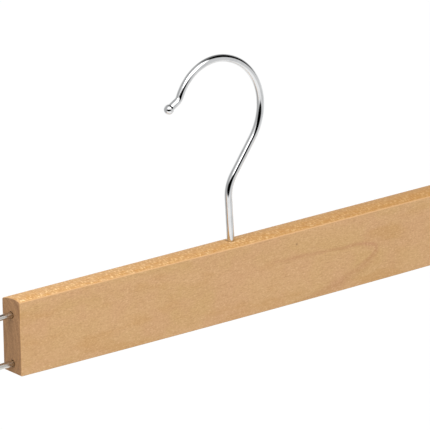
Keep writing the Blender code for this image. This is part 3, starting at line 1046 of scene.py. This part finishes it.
@dataclass
class SwivelHook:
    """Hook bent from one chromed wire, peened over a washer in the counterbore."""

    edge_height: float
    bar_bottom: float
    crown: float
    wire: float = 3.6 * MM
    stem_foot: float = 1.3 * MM
    stem_lean: float = 2.3
    stem_length: float = 18.7 * MM
    neck_radius: float = 17.4 * MM
    shank_angle: float = 35.9
    shank_length: float = 19.0 * MM
    bow_radius: float = 26.4 * MM
    bow_angle: float = 114.8
    nose_radius: float = 22.3 * MM
    nose_angle: float = 79.0
    tip_bend_radius: float = 4.5 * MM
    tip_bend_angle: float = 37.9
    tip_length: float = 5.2 * MM
    ball: float = 4.8 * MM
    head: float = 6.4 * MM
    head_thickness: float = 1.4 * MM
    head_recess: float = 1.0 * MM
    head_dome: float = 0.7
    head_step: float = 0.05 * MM
    head_steps: int = 8
    ball_end: float = 176.0
    ball_steps: int = 18
    washer: float = 8.5 * MM
    washer_thickness: float = 0.8 * MM
    washer_round: float = 0.12 * MM
    clearance: float = 0.3 * MM

    def middle_line(self) -> Pen:
        """Draw the wire's middle line from the bar's edge height to the middle of the ball.

        Returns:
            The pen, with the line's points of (x, z) and its last heading.
        """
        lean = math.radians(self.stem_lean)
        pen = Pen((0, self.edge_height), math.pi / 2, step=2.0)
        pen.line(self.crown + self.stem_foot)
        pen.arc(self.neck_radius, lean)
        pen.line(self.stem_length)
        pen.arc(self.neck_radius, -lean - math.radians(self.shank_angle))
        pen.line(self.shank_length)
        pen.arc(self.bow_radius, math.radians(self.bow_angle))
        pen.arc(self.nose_radius, math.radians(self.nose_angle))
        pen.arc(self.tip_bend_radius, -math.radians(self.tip_bend_angle))
        pen.line(self.tip_length)
        return pen

    def build(self, chrome: Material, zinc: Material) -> None:
        """Build the hook and its washer and dress them.

        Args:
            chrome: Finish of the hook.
            zinc: Finish of the washer.
        """
        radius = self.wire / 2
        foot = self.bar_bottom + self.head_recess
        rings = []
        for index in range(1, self.head_steps):
            share = math.sin(math.pi / 2 * index / self.head_steps)
            dome = 1 - math.sqrt(1 - share ** 2)
            height = self.head_thickness * self.head_dome * dome
            rings.append((0, foot + height, self.head / 2 * share))
        rings.append((0, foot + self.head_thickness, self.head / 2))
        rings.append((0, foot + self.head_thickness + self.head_step, radius))

        pen = self.middle_line()
        rings += [(point.x, point.y, radius) for point in pen.points[:-1]]
        ball = self.ball / 2
        start = math.asin(radius / ball)
        sweep = math.radians(self.ball_end) - start
        along = Vector((math.cos(pen.heading), math.sin(pen.heading)))
        for index in range(self.ball_steps + 1):
            angle = start + sweep * index / self.ball_steps
            point = pen.points[-1] - along * ball * math.cos(angle)
            rings.append((point.x, point.y, ball * math.sin(angle)))
        points = [Vector((across, 0, height)) for across, height, _ in rings]
        radii = [ring[-1] for ring in rings]
        hook = add_piece("bent_hook", tube_mesh("bent_hook", points, radii, sides=32))
        seat(hook, "hook", Slot.HOOK, chrome, "hook")

        soft = self.washer_round
        inner = radius + self.clearance
        outer = self.washer / 2
        thick = self.washer_thickness
        section = [(inner, soft), (inner + soft, 0), (outer - soft, 0), (outer, soft),
                   (outer, thick - soft), (outer - soft, thick), (inner + soft, thick),
                   (inner, thick - soft)]
        profile = [Vector(point) for point in section]
        place = Vector((0, 0, foot + self.head_thickness + self.clearance))
        mesh = turned_mesh("flat_washer", profile, place, Vector((0, 0, 1)))
        seat(add_piece("flat_washer", mesh), "hook", Slot.WASHER, zinc, "hook_washer")


@dataclass
class WireRail:
    """U-shaped wire rail whose two legs are pushed into one end of the bar."""

    side: Side
    bar_end: float
    lower: float
    spacing: float
    wire: float = 2.8 * MM
    reach: float = 70 * MM
    corner_radius: float = 6 * MM
    socket: float = 35 * MM

    def build(self, nickel: Material) -> None:
        """Build the rail and dress it.

        Args:
            nickel: Finish of the rail.
        """
        straight = self.socket + self.reach - self.wire / 2 - self.corner_radius
        pen = Pen((-self.socket, self.spacing), 0, step=3.0)
        pen.line(straight)
        pen.arc(self.corner_radius, -math.pi / 2)
        pen.line(self.spacing - 2 * self.corner_radius)
        pen.arc(self.corner_radius, -math.pi / 2)
        pen.line(straight)
        points = [Vector((self.bar_end + self.side.value * point.x, 0, self.lower + point.y))
                  for point in pen.points]
        name = f"{self.side.word}_bent_rail"
        mesh = tube_mesh(name, points, [self.wire / 2] * len(points))
        seat(add_piece(name, mesh), "bar", Slot.RAIL, nickel, f"{self.side.word}_rail")


@dataclass
class SprungClip:
    """Clip of two stamped plates on a hollow rivet, with a torsion spring and two sleeves."""

    side: Side
    pivot: Vector
    rail_wire: float
    width: float = 30 * MM
    sheet: float = 0.9 * MM
    fold_radius: float = 0.8 * MM
    fold_steps: int = 8
    ear_steps: int = 32
    ear_margin: float = 1.5 * MM
    ear_relief: float = 0.6 * MM
    lever_flare: float = 14.0
    lever_length: float = 15.5 * MM
    lever_tip_width: float = 22 * MM
    lever_corner: float = 4 * MM
    curl_radius: float = 2.0 * MM
    curl_angle: float = 60.0
    jaw_inset: float = 1.0 * MM
    jaw_length: float = 23 * MM
    jaw_corner: float = 1.5 * MM
    belly_half_gap: float = 4.6 * MM
    belly_depth: float = 12.4 * MM
    bend_radius: float = 4 * MM
    bend_room: float = 0.45
    sheet_edge: float = 0.14 * MM
    bead_width: float = 8.0 * MM
    bead_height: float = 0.7 * MM
    bead_end: float = 3.0 * MM
    bead_margin: float = 0.8 * MM
    bead_columns: int = 14
    row_gap: float = 0.18 * MM
    row_steps: int = 8
    tube_wall: float = 0.4 * MM
    flange: float = 3.4 * MM
    flange_thickness: float = 0.5 * MM
    flange_round: float = 0.15 * MM
    spring_wire: float = 1.2 * MM
    spring_curls: int = 5
    spring_curl_gap: float = 0.5 * MM
    spring_play: float = 0.45 * MM
    spring_leg: float = 10.5 * MM
    spring_step: float = 9.0
    spring_sides: int = 16
    leg_shares: tuple[float, ...] = (0.08, 0.25, 0.6, 1.0)
    leg_overlap: float = 60.0
    leg_slack: float = 0.01 * MM
    coil_start: float = 6.0
    pad_grip: float = 1.3 * MM
    pad_skin: float = 0.7 * MM
    pad_floor: float = 1.0 * MM
    pad_depth: float = 5.3 * MM
    pad_ribs: int = 6
    pad_rib_depth: float = 0.45 * MM
    pad_round: float = 0.6 * MM
    pad_edge: float = 0.22 * MM
    rib_swell: float = 1.5
    rib_steps: int = 10
    clearance: float = 0.3 * MM

    def __post_init__(self) -> None:
        """Work out the sizes that follow from the others."""
        self.jaw_width = self.width - 2 * self.jaw_inset
        self.tube_inner = self.rail_wire / 2 + self.clearance
        self.tube_outer = self.tube_inner + self.tube_wall
        self.ear_bore = self.tube_outer + self.clearance
        self.ear_radius = self.ear_bore + self.ear_margin
        self.coil_radius = self.tube_outer + self.spring_play + self.spring_wire / 2
        self.lever_offset = (self.coil_radius + self.spring_wire / 2 + self.clearance
                             + self.sheet / 2)
        self.grip_offset = (self.clearance / 2 + self.pad_grip + self.clearance
                            + self.sheet / 2)
        flare = math.radians(self.lever_flare)
        self.outward = Vector((math.cos(flare), -math.sin(flare)))
        self.upward = Vector((math.sin(flare), math.cos(flare)))

    def in_place(self, across: float, point: Vector, facing: Facing) -> Vector:
        """Put a point of (outward, up) on one half of the clip."""
        return self.pivot + Vector((across, facing.value * point.x, point.y))

    def plate_line(self) -> list[Vector]:
        """Middle of a plate's sheet, from the lever's lip to the jaw's tip.

        Returns:
            Points of (outward, up).
        """
        top = self.outward * self.lever_offset + self.upward * self.lever_length
        pen = Pen(top, math.pi / 2 - math.radians(self.lever_flare), step=6.0)
        pen.arc(self.curl_radius, -math.radians(self.curl_angle))
        lip = pen.points[::-1]
        room = self.bend_room * self.bend_radius
        drop = self.ear_radius + self.ear_relief + room
        waist = self.outward * self.lever_offset - self.upward * drop
        belly = Vector((self.belly_half_gap, -self.belly_depth))
        grip_top = Vector((self.grip_offset, -self.jaw_length + self.pad_depth + room))
        tip = Vector((self.grip_offset, -self.jaw_length))
        corners = [top, waist, belly, grip_top, tip]
        return lip[:-1] + rounded(corners, self.bend_radius, step=4.0)

    def corner_loss(self, distance: float, radius: float) -> float:
        """How much a round corner takes off the half width.

        Args:
            distance: Distance from the end of the sheet.
            radius: Radius of the corner.

        Returns:
            The loss.
        """
        if distance >= radius:
            return 0.0
        return radius - math.sqrt(radius ** 2 - (radius - distance) ** 2)

    def bead_rise(self, distance: float, beads: list[tuple[float, float]]) -> float:
        """How far a stiffening bead stands out of the sheet.

        Args:
            distance: Distance along the sheet.
            beads: Start and end of each bead along the sheet.

        Returns:
            The height of the bead there.
        """
        for start, end in beads:
            if start < distance < end:
                ends = min(distance - start, end - distance) / self.bead_end
                return self.bead_height * math.sin(math.pi / 2 * min(1.0, ends))
        return 0.0

    def plate_rows(self, ear_half: float) -> tuple[list[tuple[Vector, Vector, float]], list[int]]:
        """Cut the sheet into rows.

        Args:
            ear_half: Half of the sheet's width where the ears fold off it.

        Returns:
            Rows of (middle, bead crest, half width), and the numbers of the rows at the ears.
        """
        line = self.plate_line()
        stations = [0.0]
        for before, after in zip(line, line[1:]):
            stations.append(stations[-1] + (after - before).length)
        total = stations[-1]
        curl = self.curl_radius * math.radians(self.curl_angle)
        foot = curl + self.lever_length
        ear_top = foot - self.ear_radius
        ear_bottom = foot + self.ear_radius
        shoulder = ear_top - self.ear_relief
        hip = ear_bottom + self.ear_relief
        pad_top = total - self.pad_depth
        beads = [(curl + self.bead_margin, shoulder - self.bead_margin),
                 (hip, pad_top - self.bead_margin)]
        marks = {ear_top, ear_bottom, shoulder, hip}
        for index in range(self.row_steps + 1):
            part = index / self.row_steps
            share = 1 - math.cos(math.pi / 2 * part)
            marks.add(self.lever_corner * share)
            marks.add(total - self.jaw_corner * share)
            for start, end in beads:
                marks.add(start + self.bead_end * part)
                marks.add(end - self.bead_end * part)
        for station in stations:
            beside = any(abs(station - mark) < self.row_gap for mark in marks)
            if not beside and not ear_top < station < ear_bottom:
                marks.add(station)

        rows = []
        ears = []
        for mark in sorted(marks):
            index = max(number for number, station in enumerate(stations) if station <= mark + SAME)
            index = min(index, len(line) - 2)
            share = (mark - stations[index]) / (stations[index + 1] - stations[index])
            point = line[index].lerp(line[index + 1], share)
            along = (line[index + 1] - line[index]).normalized()
            crest = point + Vector((-along.y, along.x)) * self.bead_rise(mark, beads)
            if mark in (ear_top, ear_bottom):
                half = ear_half
                ears.append(len(rows))
            elif mark <= shoulder:
                taper = mark / shoulder
                half = (self.lever_tip_width + (self.width - self.lever_tip_width) * taper) / 2
                half -= self.corner_loss(mark, self.lever_corner)
            else:
                half = self.jaw_width / 2 - self.corner_loss(total - mark, self.jaw_corner)
            rows.append((point, crest, half))
        return rows, ears

    def build_plate(self, facing: Facing, nickel: Material) -> None:
        """Build one stamped plate, its lever, jaw and two folded ears in one, and dress it.

        Args:
            facing: Half of the clip.
            nickel: Finish of the sheet.
        """
        name = f"{self.side.word}_{facing.word}_plate"
        width = self.width
        if facing is Facing.FRONT:
            width -= 2 * (self.sheet + self.clearance)
        ear_half = width / 2 - self.sheet / 2 - self.fold_radius
        rows, ears = self.plate_rows(ear_half)
        bm = bmesh.new()
        grid = []
        for middle, crest, half in rows:
            row = [bm.verts.new(self.in_place(-half, middle, facing))]
            for index in range(self.bead_columns + 1):
                share = 2 * index / self.bead_columns - 1
                point = middle.lerp(crest, math.cos(math.pi / 2 * share))
                row.append(bm.verts.new(self.in_place(share * self.bead_width / 2, point, facing)))
            row.append(bm.verts.new(self.in_place(half, middle, facing)))
            grid.append(row)
        skin(bm, grid)
        for column, hand in ((0, -1), (-1, 1)):
            edge = [grid[index][column] for index in ears]
            starts = [rows[index][0] for index in ears]
            for step in range(1, self.fold_steps + 1):
                angle = math.pi / 2 * step / self.fold_steps
                across = hand * (ear_half + self.fold_radius * math.sin(angle))
                inward = self.outward * self.fold_radius * (1 - math.cos(angle))
                following = [bm.verts.new(self.in_place(across, start - inward, facing))
                             for start in starts]
                bm.faces.new((edge[0], edge[1], following[1], following[0]))
                edge = following
            plane = hand * (ear_half + self.fold_radius)
            outline = list(edge)
            for step in range(self.ear_steps + 1):
                angle = math.pi * step / self.ear_steps
                spoke = self.upward * math.cos(angle) + self.outward * math.sin(angle)
                outline.append(bm.verts.new(self.in_place(plane, -self.ear_radius * spoke, facing)))
            bm.faces.new(outline)
        plate = add_piece(name, mesh_from(bm, name))
        solid = plate.modifiers.new("sheet", "SOLIDIFY")
        solid.thickness = self.sheet
        solid.offset = 0.0
        solid.use_even_offset = True
        bevel(plate, self.sheet_edge, segments=2, limit=60.0)
        start = self.pivot - Vector((self.width, 0, 0))
        reach = 2 * self.width
        profile = [(0, 0), (self.ear_bore, 0), (self.ear_bore, reach), (0, reach)]
        cut(plate, [drill_mesh("ear_drill", profile, start, Vector((1, 0, 0)))])
        body = f"{self.side.word}_{facing.word}_half"
        seat(plate, body, Slot.CLIP, nickel, f"{self.side.word}_{facing.word}_jaw")

    def build_rivet(self, nickel: Material) -> None:
        """Build the hollow rivet that slides on the rail, and dress it.

        Args:
            nickel: Finish of the rivet.
        """
        inside = self.width / 2 + self.clearance
        outside = inside + self.flange_thickness
        soft = self.flange_round
        corners = [
            (self.tube_inner, 0), (self.tube_inner, outside - soft),
            (self.tube_inner + soft, outside), (self.flange - soft, outside),
            (self.flange, outside - soft), (self.flange, inside + soft),
            (self.flange - soft, inside), (self.tube_outer, inside), (self.tube_outer, 0),
        ]
        far = [Vector((radius, height)) for radius, height in corners]
        near = [Vector((point.x, -point.y)) for point in far[1:-1]]
        name = f"{self.side.word}_hollow_rivet"
        mesh = turned_mesh(name, far + near[::-1], self.pivot, Vector((1, 0, 0)))
        seat(add_piece(name, mesh), f"{self.side.word}_slider", Slot.CLIP, nickel,
             f"{self.side.word}_pivot_tube")

    def build_sleeve(self, facing: Facing, vinyl: Material) -> None:
        """Build one ribbed grip sleeve with its pocket for the jaw's tip, and dress it.

        Args:
            facing: Half of the clip.
            vinyl: Finish of the sleeve.
        """
        name = f"{self.side.word}_{facing.word}_sleeve"
        crest = self.clearance / 2
        back = self.grip_offset + self.sheet / 2 + self.clearance + self.pad_skin
        top = -self.jaw_length + self.pad_depth
        bottom = -self.jaw_length - self.clearance - self.pad_floor
        groove = crest + self.pad_rib_depth
        pitch = (top - bottom) / self.pad_ribs
        outline = []
        for rib in range(self.pad_ribs):
            for step in range(self.rib_steps):
                share = (step + 0.5) / self.rib_steps
                height = top - pitch * (rib + share)
                swell = min(1.0, self.rib_swell * math.sin(math.pi * share))
                outline.append(Vector((groove - self.pad_rib_depth * swell, height)))
        corners = [Vector((groove, bottom)), Vector((back, bottom)), Vector((back, top)),
                   Vector((groove, top))]
        outline += rounded(corners, self.pad_round, step=15.0)
        section = [Vector((self.pivot.y + facing.value * point.x, self.pivot.z + point.y))
                   for point in outline]
        half = self.jaw_width / 2 + self.clearance + self.pad_skin
        mesh = prism_mesh(name, section, self.pivot.x - half, self.pivot.x + half)
        sleeve = add_piece(name, mesh)
        bevel(sleeve, self.pad_edge, segments=3, limit=60.0)

        slot_half = self.sheet / 2 + self.clearance
        floor = self.pivot.z - self.jaw_length - self.clearance
        roof = floor + 2 * self.pad_depth
        near = self.pivot.y + facing.value * (self.grip_offset - slot_half)
        far = self.pivot.y + facing.value * (self.grip_offset + slot_half)
        pocket = [Vector((near, floor)), Vector((far, floor)), Vector((far, roof)),
                  Vector((near, roof))]
        room = self.jaw_width / 2 + self.clearance
        cutter = prism_mesh("pocket", pocket, self.pivot.x - room, self.pivot.x + room)
        cut(sleeve, [cutter])
        body = f"{self.side.word}_{facing.word}_half"
        seat(sleeve, body, Slot.PAD, vinyl, f"{self.side.word}_{facing.word}_pad")

    def coil_point(self, angle: float) -> Vector:
        """Point of the coil's middle line.

        Args:
            angle: Turn round the pivot in radians, which is zero at the back and rises from there.

        Returns:
            The point.
        """
        start, end = self.coil_span()
        pitch = self.spring_wire + self.spring_curl_gap
        width = pitch * (end - start) / (2 * math.pi)
        across = -width / 2 + width * (angle - start) / (end - start)
        return self.pivot + Vector((across, self.coil_radius * math.cos(angle),
                                    self.coil_radius * math.sin(angle)))

    def coil_span(self) -> tuple[float, float]:
        """Angles at which the coil leaves the front lever and meets the rear one."""
        flare = math.radians(self.lever_flare)
        return math.pi + flare, 2 * math.pi * self.spring_curls - flare

    def build_spring(self, steel: Material) -> None:
        """Build the torsion spring in two pieces, so that its front leg turns with the front half.

        Args:
            steel: Finish of the spring's wire.
        """
        start, end = self.coil_span()
        overlap = math.radians(self.leg_overlap)
        step = math.radians(self.spring_step)
        leg = Vector((0, self.upward.x, self.upward.y)) * self.spring_leg
        front_leg = Vector((0, -leg.y, leg.z))

        front = [self.coil_point(start) + front_leg * share for share in self.leg_shares[::-1]]
        count = math.ceil(overlap / step)
        front += [self.coil_point(start + overlap * index / count) for index in range(count + 1)]
        name = f"{self.side.word}_spring_front_leg"
        inner = self.spring_wire / 2 - self.leg_slack
        piece = add_piece(name, tube_mesh(name, front, [inner] * len(front), self.spring_sides))
        seat(piece, f"{self.side.word}_front_half", Slot.SPRING, steel)

        first = start + math.radians(self.coil_start)
        count = math.ceil((end - first) / step)
        rear = [self.coil_point(first + (end - first) * index / count)
                for index in range(count + 1)]
        rear += [self.coil_point(end) + leg * share for share in self.leg_shares]
        name = f"{self.side.word}_spring_coil"
        outer = self.spring_wire / 2
        piece = add_piece(name, tube_mesh(name, rear, [outer] * len(rear), self.spring_sides))
        seat(piece, f"{self.side.word}_back_half", Slot.SPRING, steel,
             f"{self.side.word}_spring")

    def build(self, nickel: Material, spring_steel: Material, vinyl: Material) -> None:
        """Build the whole clip and dress it.

        Args:
            nickel: Finish of the plates and the rivet.
            spring_steel: Finish of the spring.
            vinyl: Finish of the sleeves.
        """
        self.build_rivet(nickel)
        for facing in Facing:
            self.build_plate(facing, nickel)
            self.build_sleeve(facing, vinyl)
        self.build_spring(spring_steel)


class Shade(Enum):
    """How light a flag is, as a share of white."""

    BLACK = 0.0
    DARK = 0.25
    GREY = 0.5
    PALE = 0.75


@dataclass
class Flag:
    """Curved card round the object that only its gloss can see, as a studio's grey flags are.

    Angles are in degrees, the azimuth from behind the object. The core is the share of the card
    that covers fully; outside it the card fades, so that the wire shows no hard line where the
    white begins.
    """

    name: str
    azimuth: float
    elevation: float
    wide: float
    high: float
    shade: Shade
    core: float = 0.7
    steps: int = 24

    def mesh(self, centre: Vector, reach: float) -> Mesh:
        """Make a patch of a sphere whose cover falls from one to zero at its rim.

        Args:
            centre: Middle of the sphere.
            reach: Radius of the sphere.

        Returns:
            The mesh, with the cover as an attribute of its points.
        """
        bm = bmesh.new()
        layer = bm.verts.layers.float.new("cover")
        swing = (Matrix.Rotation(-math.radians(self.azimuth), 3, "Z")
                 @ Matrix.Rotation(math.radians(self.elevation), 3, "X"))
        grid = []
        for row in range(self.steps + 1):
            line = []
            for column in range(self.steps + 1):
                across = 2 * column / self.steps - 1
                rise = 2 * row / self.steps - 1
                way = way_to(self.wide / 2 * across, self.high / 2 * rise)
                vertex = bm.verts.new(centre + swing @ way * reach)
                share = (1 - math.hypot(across, rise)) / (1 - self.core)
                share = min(1.0, max(0.0, share))
                vertex[layer] = share * share * (3 - 2 * share)
                line.append(vertex)
            grid.append(line)
        skin(bm, grid)
        return mesh_from(bm, self.name)

    def build(self, centre: Vector, reach: float) -> None:
        """Stand the flag round the object.

        Args:
            centre: Middle of the hook's bow.
            reach: Its distance.
        """
        card = add_piece(self.name, self.mesh(centre, reach))
        material, tree = bare_material(self.name)
        cover = add_node(tree, "ShaderNodeAttribute", attribute_name="cover")
        clear = add_node(tree, "ShaderNodeBsdfTransparent")
        grey = add_node(tree, "ShaderNodeEmission",
                        {"Color": WHITE, "Strength": self.shade.value})
        mixed = add_node(tree, "ShaderNodeMixShader", (cover.outputs["Fac"], clear, grey))
        add_node(tree, "ShaderNodeOutputMaterial", (mixed,))
        card.data.materials.append(material)
        card.visible_camera = False
        card.visible_diffuse = False
        card.visible_shadow = False
        card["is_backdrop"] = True


@dataclass
class Studio:
    """Camera at the photograph's place, soft lamps, a pale floor and the flags for the chrome."""

    aim: Vector
    azimuth: float = 37.37
    elevation: float = 18.40
    roll: float = -1.01
    distance: float = 2.844
    frame_pixels: float = 430.0
    aim_pixel: tuple[float, float] = (230.45, 243.65)
    pixels_per_metre: float = 2169.0
    sensor: float = 36.0
    clip_near: float = 0.1
    clip_far: float = 100.0
    world_light: float = 0.64
    floor_drop: float = 0.55
    floor_size: float = 12.0
    floor_paint: str = "E4E4E2"
    floor_glow: float = 1.09
    floor_share: float = 0.85
    bow_drop: float = 22 * MM
    flag_reach: float = 0.50
    flag_step: float = 0.01
    key_azimuth: float = -165.0
    key_elevation: float = 50.0
    key_distance: float = 2.4
    key_width: float = 2.6
    key_height: float = 1.6
    key_power: float = 40.2
    fill_place: tuple[float, float, float] = (-0.30, -0.05, 0.26)
    fill_size: float = 0.20
    fill_power: float = 0.40

    def build_camera(self) -> None:
        """Place the camera so that the aim falls on its pixel of the photograph."""
        forward = way_to(self.azimuth, -self.elevation)
        level = way_to(self.azimuth + 90, 0)
        lean = Quaternion(forward, -math.radians(self.roll))
        right = lean @ level
        up = lean @ level.cross(forward)
        middle = self.frame_pixels / 2
        off = Vector((middle - self.aim_pixel[0], self.aim_pixel[1] - middle))
        target = self.aim + (right * off.x + up * off.y) / self.pixels_per_metre
        data = bpy.data.cameras.new("view")
        data.sensor_width = self.sensor
        data.lens = self.sensor * self.distance * self.pixels_per_metre / self.frame_pixels
        data.clip_start = self.clip_near
        data.clip_end = self.clip_far
        camera = add_piece("view", data)
        axes = Matrix((right, up, -forward)).transposed().to_4x4()
        camera.matrix_world = Matrix.Translation(target - forward * self.distance) @ axes
        bpy.context.scene.camera = camera

    def seen(self, tree: NodeTree) -> Node:
        """One where a camera, glossy or transmitted ray looks, and zero for diffuse light.

        Args:
            tree: Node tree of a surface or of the world.

        Returns:
            The node with the one or zero.
        """
        path = add_node(tree, "ShaderNodeLightPath").outputs
        share = path["Is Camera Ray"]
        for ray in ("Is Glossy Ray", "Is Transmission Ray"):
            share = add_node(tree, "ShaderNodeMath", (share, path[ray]), operation="MAXIMUM")
        return share

    def build_world(self) -> None:
        """White surroundings to look at, and a softer level of them as light."""
        world = bpy.data.worlds.new("studio")
        world.use_nodes = True
        tree = world.node_tree
        tree.nodes.clear()
        soft, white = (
            add_node(tree, "ShaderNodeBackground", {"Color": WHITE, "Strength": level})
            for level in (self.world_light, 1.0)
        )
        mixed = add_node(tree, "ShaderNodeMixShader", (self.seen(tree), soft, white))
        add_node(tree, "ShaderNodeOutputWorld", (mixed,))
        bpy.context.scene.world = world

    def build_floor(self, height: float) -> None:
        """Lay a pale floor below the hanging object, which keeps its shadow.

        It is clear from below, so that a view from there isn't closed off.

        Args:
            height: Height of the floor.
        """
        bm = bmesh.new()
        bmesh.ops.create_grid(bm, x_segments=1, y_segments=1, size=self.floor_size)
        bmesh.ops.translate(bm, verts=bm.verts, vec=(0, 0, height))
        floor = add_piece("floor", mesh_from(bm, "floor"))
        material, tree = bare_material("pale_floor")
        paint = add_node(tree, "ShaderNodeBsdfDiffuse", {"Color": self.floor_paint})
        glow = add_node(tree, "ShaderNodeEmission", {"Color": WHITE, "Strength": self.floor_glow})
        share = add_node(tree, "ShaderNodeMath", (self.seen(tree), self.floor_share),
                         operation="MULTIPLY")
        mixed = add_node(tree, "ShaderNodeMixShader", (share, paint, glow))
        below = add_node(tree, "ShaderNodeBsdfTransparent")
        side = add_node(tree, "ShaderNodeNewGeometry")
        whole = add_node(tree, "ShaderNodeMixShader", (side.outputs["Backfacing"], mixed, below))
        add_node(tree, "ShaderNodeOutputMaterial", (whole,))
        floor.data.materials.append(material)
        floor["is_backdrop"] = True

    def hang_lamp(
        self, name: str, away: Vector, size: tuple[float, float], power: float
    ) -> Object:
        """Hang an area lamp that looks at the aim.

        Args:
            name: Name of the lamp.
            away: Its place, seen from the aim.
            size: Its width and height.
            power: Its power in watts.

        Returns:
            The lamp.
        """
        data = bpy.data.lights.new(name, "AREA")
        data.shape = "RECTANGLE"
        data.size, data.size_y = size
        data.energy = power
        lamp = add_piece(name, data)
        lamp.location = self.aim + away
        lamp.rotation_mode = "QUATERNION"
        lamp.rotation_quaternion = (-away).to_track_quat("-Z", "Y")
        return lamp

    def build_lamps(self) -> None:
        """Hang the lamps.

        One wide soft box hangs in front of the object and above it, and a small lamp lifts the
        left end, which the photograph shows a little brighter.
        """
        away = way_to(self.key_azimuth, self.key_elevation) * self.key_distance
        self.hang_lamp("soft_box", away, (self.key_width, self.key_height), self.key_power)
        fill = self.hang_lamp("left_fill", Vector(self.fill_place),
                              (self.fill_size, self.fill_size), self.fill_power)
        fill.visible_camera = False
        fill.visible_glossy = False

    def build_flags(self) -> None:
        """Stand the flags round the hook, which would otherwise reflect white alone.

        The dark side behind the camera draws the streak down the stem's bend, the neck and the
        bow's right flank, and the one inside the bow by its tip. The tall one at the right and
        the two above draw the dark outer line over the bow's top. The one behind at the left
        draws the soft rim on that side of the stem and the flank, and the front right one the
        faint middle of the bow's top. Each is given by its name, azimuth, elevation, width,
        height and shade.
        """
        flags = [
            Flag("flag_camera", -145, 0, 120, 50, Shade.BLACK),
            Flag("flag_right", 110, 40, 60, 100, Shade.BLACK),
            Flag("flag_above_right", 70, 60, 80, 60, Shade.DARK),
            Flag("flag_above", 0, 60, 200, 70, Shade.GREY),
            Flag("flag_behind_left", -60, 0, 90, 140, Shade.GREY),
            Flag("flag_front_right", 140, 0, 80, 120, Shade.PALE),
        ]
        bow = Vector((0, 0, -self.bow_drop))
        for index, flag in enumerate(flags):
            flag.build(bow, self.flag_reach + self.flag_step * index)

    def build(self, lowest: float) -> None:
        """Set up the camera, the light, the floor and the flags.

        Args:
            lowest: Lowest height of the object.
        """
        self.build_camera()
        self.build_world()
        self.build_floor(lowest - self.floor_drop)
        self.build_lamps()
        self.build_flags()
        bpy.context.scene.view_settings.view_transform = "Standard"


def main() -> None:
    """Load the frame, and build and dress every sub-assembly."""
    logging.basicConfig(level=logging.INFO, format="%(name)s: %(message)s")
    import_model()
    cad_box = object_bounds()

    bar = WoodenBar(*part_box("wooden_bar"))
    hook = SwivelHook(bar.edge_height, bar.low.z, bar.crown)
    studio = Studio(Vector((0, 0, bar.edge_height)))
    studio.build(cad_box[0].z)

    beech = LacqueredBeech(bar.low.y, bar.edge_height).material()
    # Chromium: a cold mirror with the faintest clouds.
    chrome = BrightMetal(
        name="chromed_wire", tint="E4E5E6", smudge_tint="D8D9DA", roughness=0.05, smudge=0.04,
        smudge_size=6 * MM, ripple_size=4 * MM, ripple_height=0.004 * MM,
    ).material()
    # Nickel: warmer, and soft enough to blur what it reflects.
    nickel = BrightMetal(
        name="nickelled_steel", tint="D8D5CF", smudge_tint="CBC8C1", roughness=0.20, smudge=0.10,
        smudge_size=5 * MM, ripple_size=2.5 * MM, ripple_height=0.006 * MM,
    ).material()
    # Zinc: blue-grey, the dullest of the four, in small blotches.
    zinc = BrightMetal(
        name="zinc_plate", tint="BFC2C6", smudge_tint="A7ABB0", roughness=0.32, smudge=0.12,
        smudge_size=1.5 * MM, ripple_size=0.8 * MM, ripple_height=0.010 * MM,
    ).material()
    # Bare spring wire: darker than the plating beside it, with fine ripples from drawing.
    spring_steel = BrightMetal(
        name="drawn_spring_wire", tint="BDBBB6", smudge_tint="A6A39C", roughness=0.20,
        smudge=0.10, smudge_size=2 * MM, ripple_size=0.7 * MM, ripple_height=0.005 * MM,
    ).material()
    vinyl = MouldedVinyl().material()

    bar.build(beech)
    hook.build(chrome, zinc)
    for side in Side:
        end = bar.low.x if side is Side.LEFT else bar.high.x
        rail = WireRail(side, end, bar.rail_heights[0], bar.rail_spacing)
        rail.build(nickel)
        low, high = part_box(f"{side.word}_pivot_tube")
        clip = SprungClip(side, (low + high) / 2, rail.wire)
        clip.build(nickel, spring_steel, vinyl)


if __name__ == "__main__":
    main()
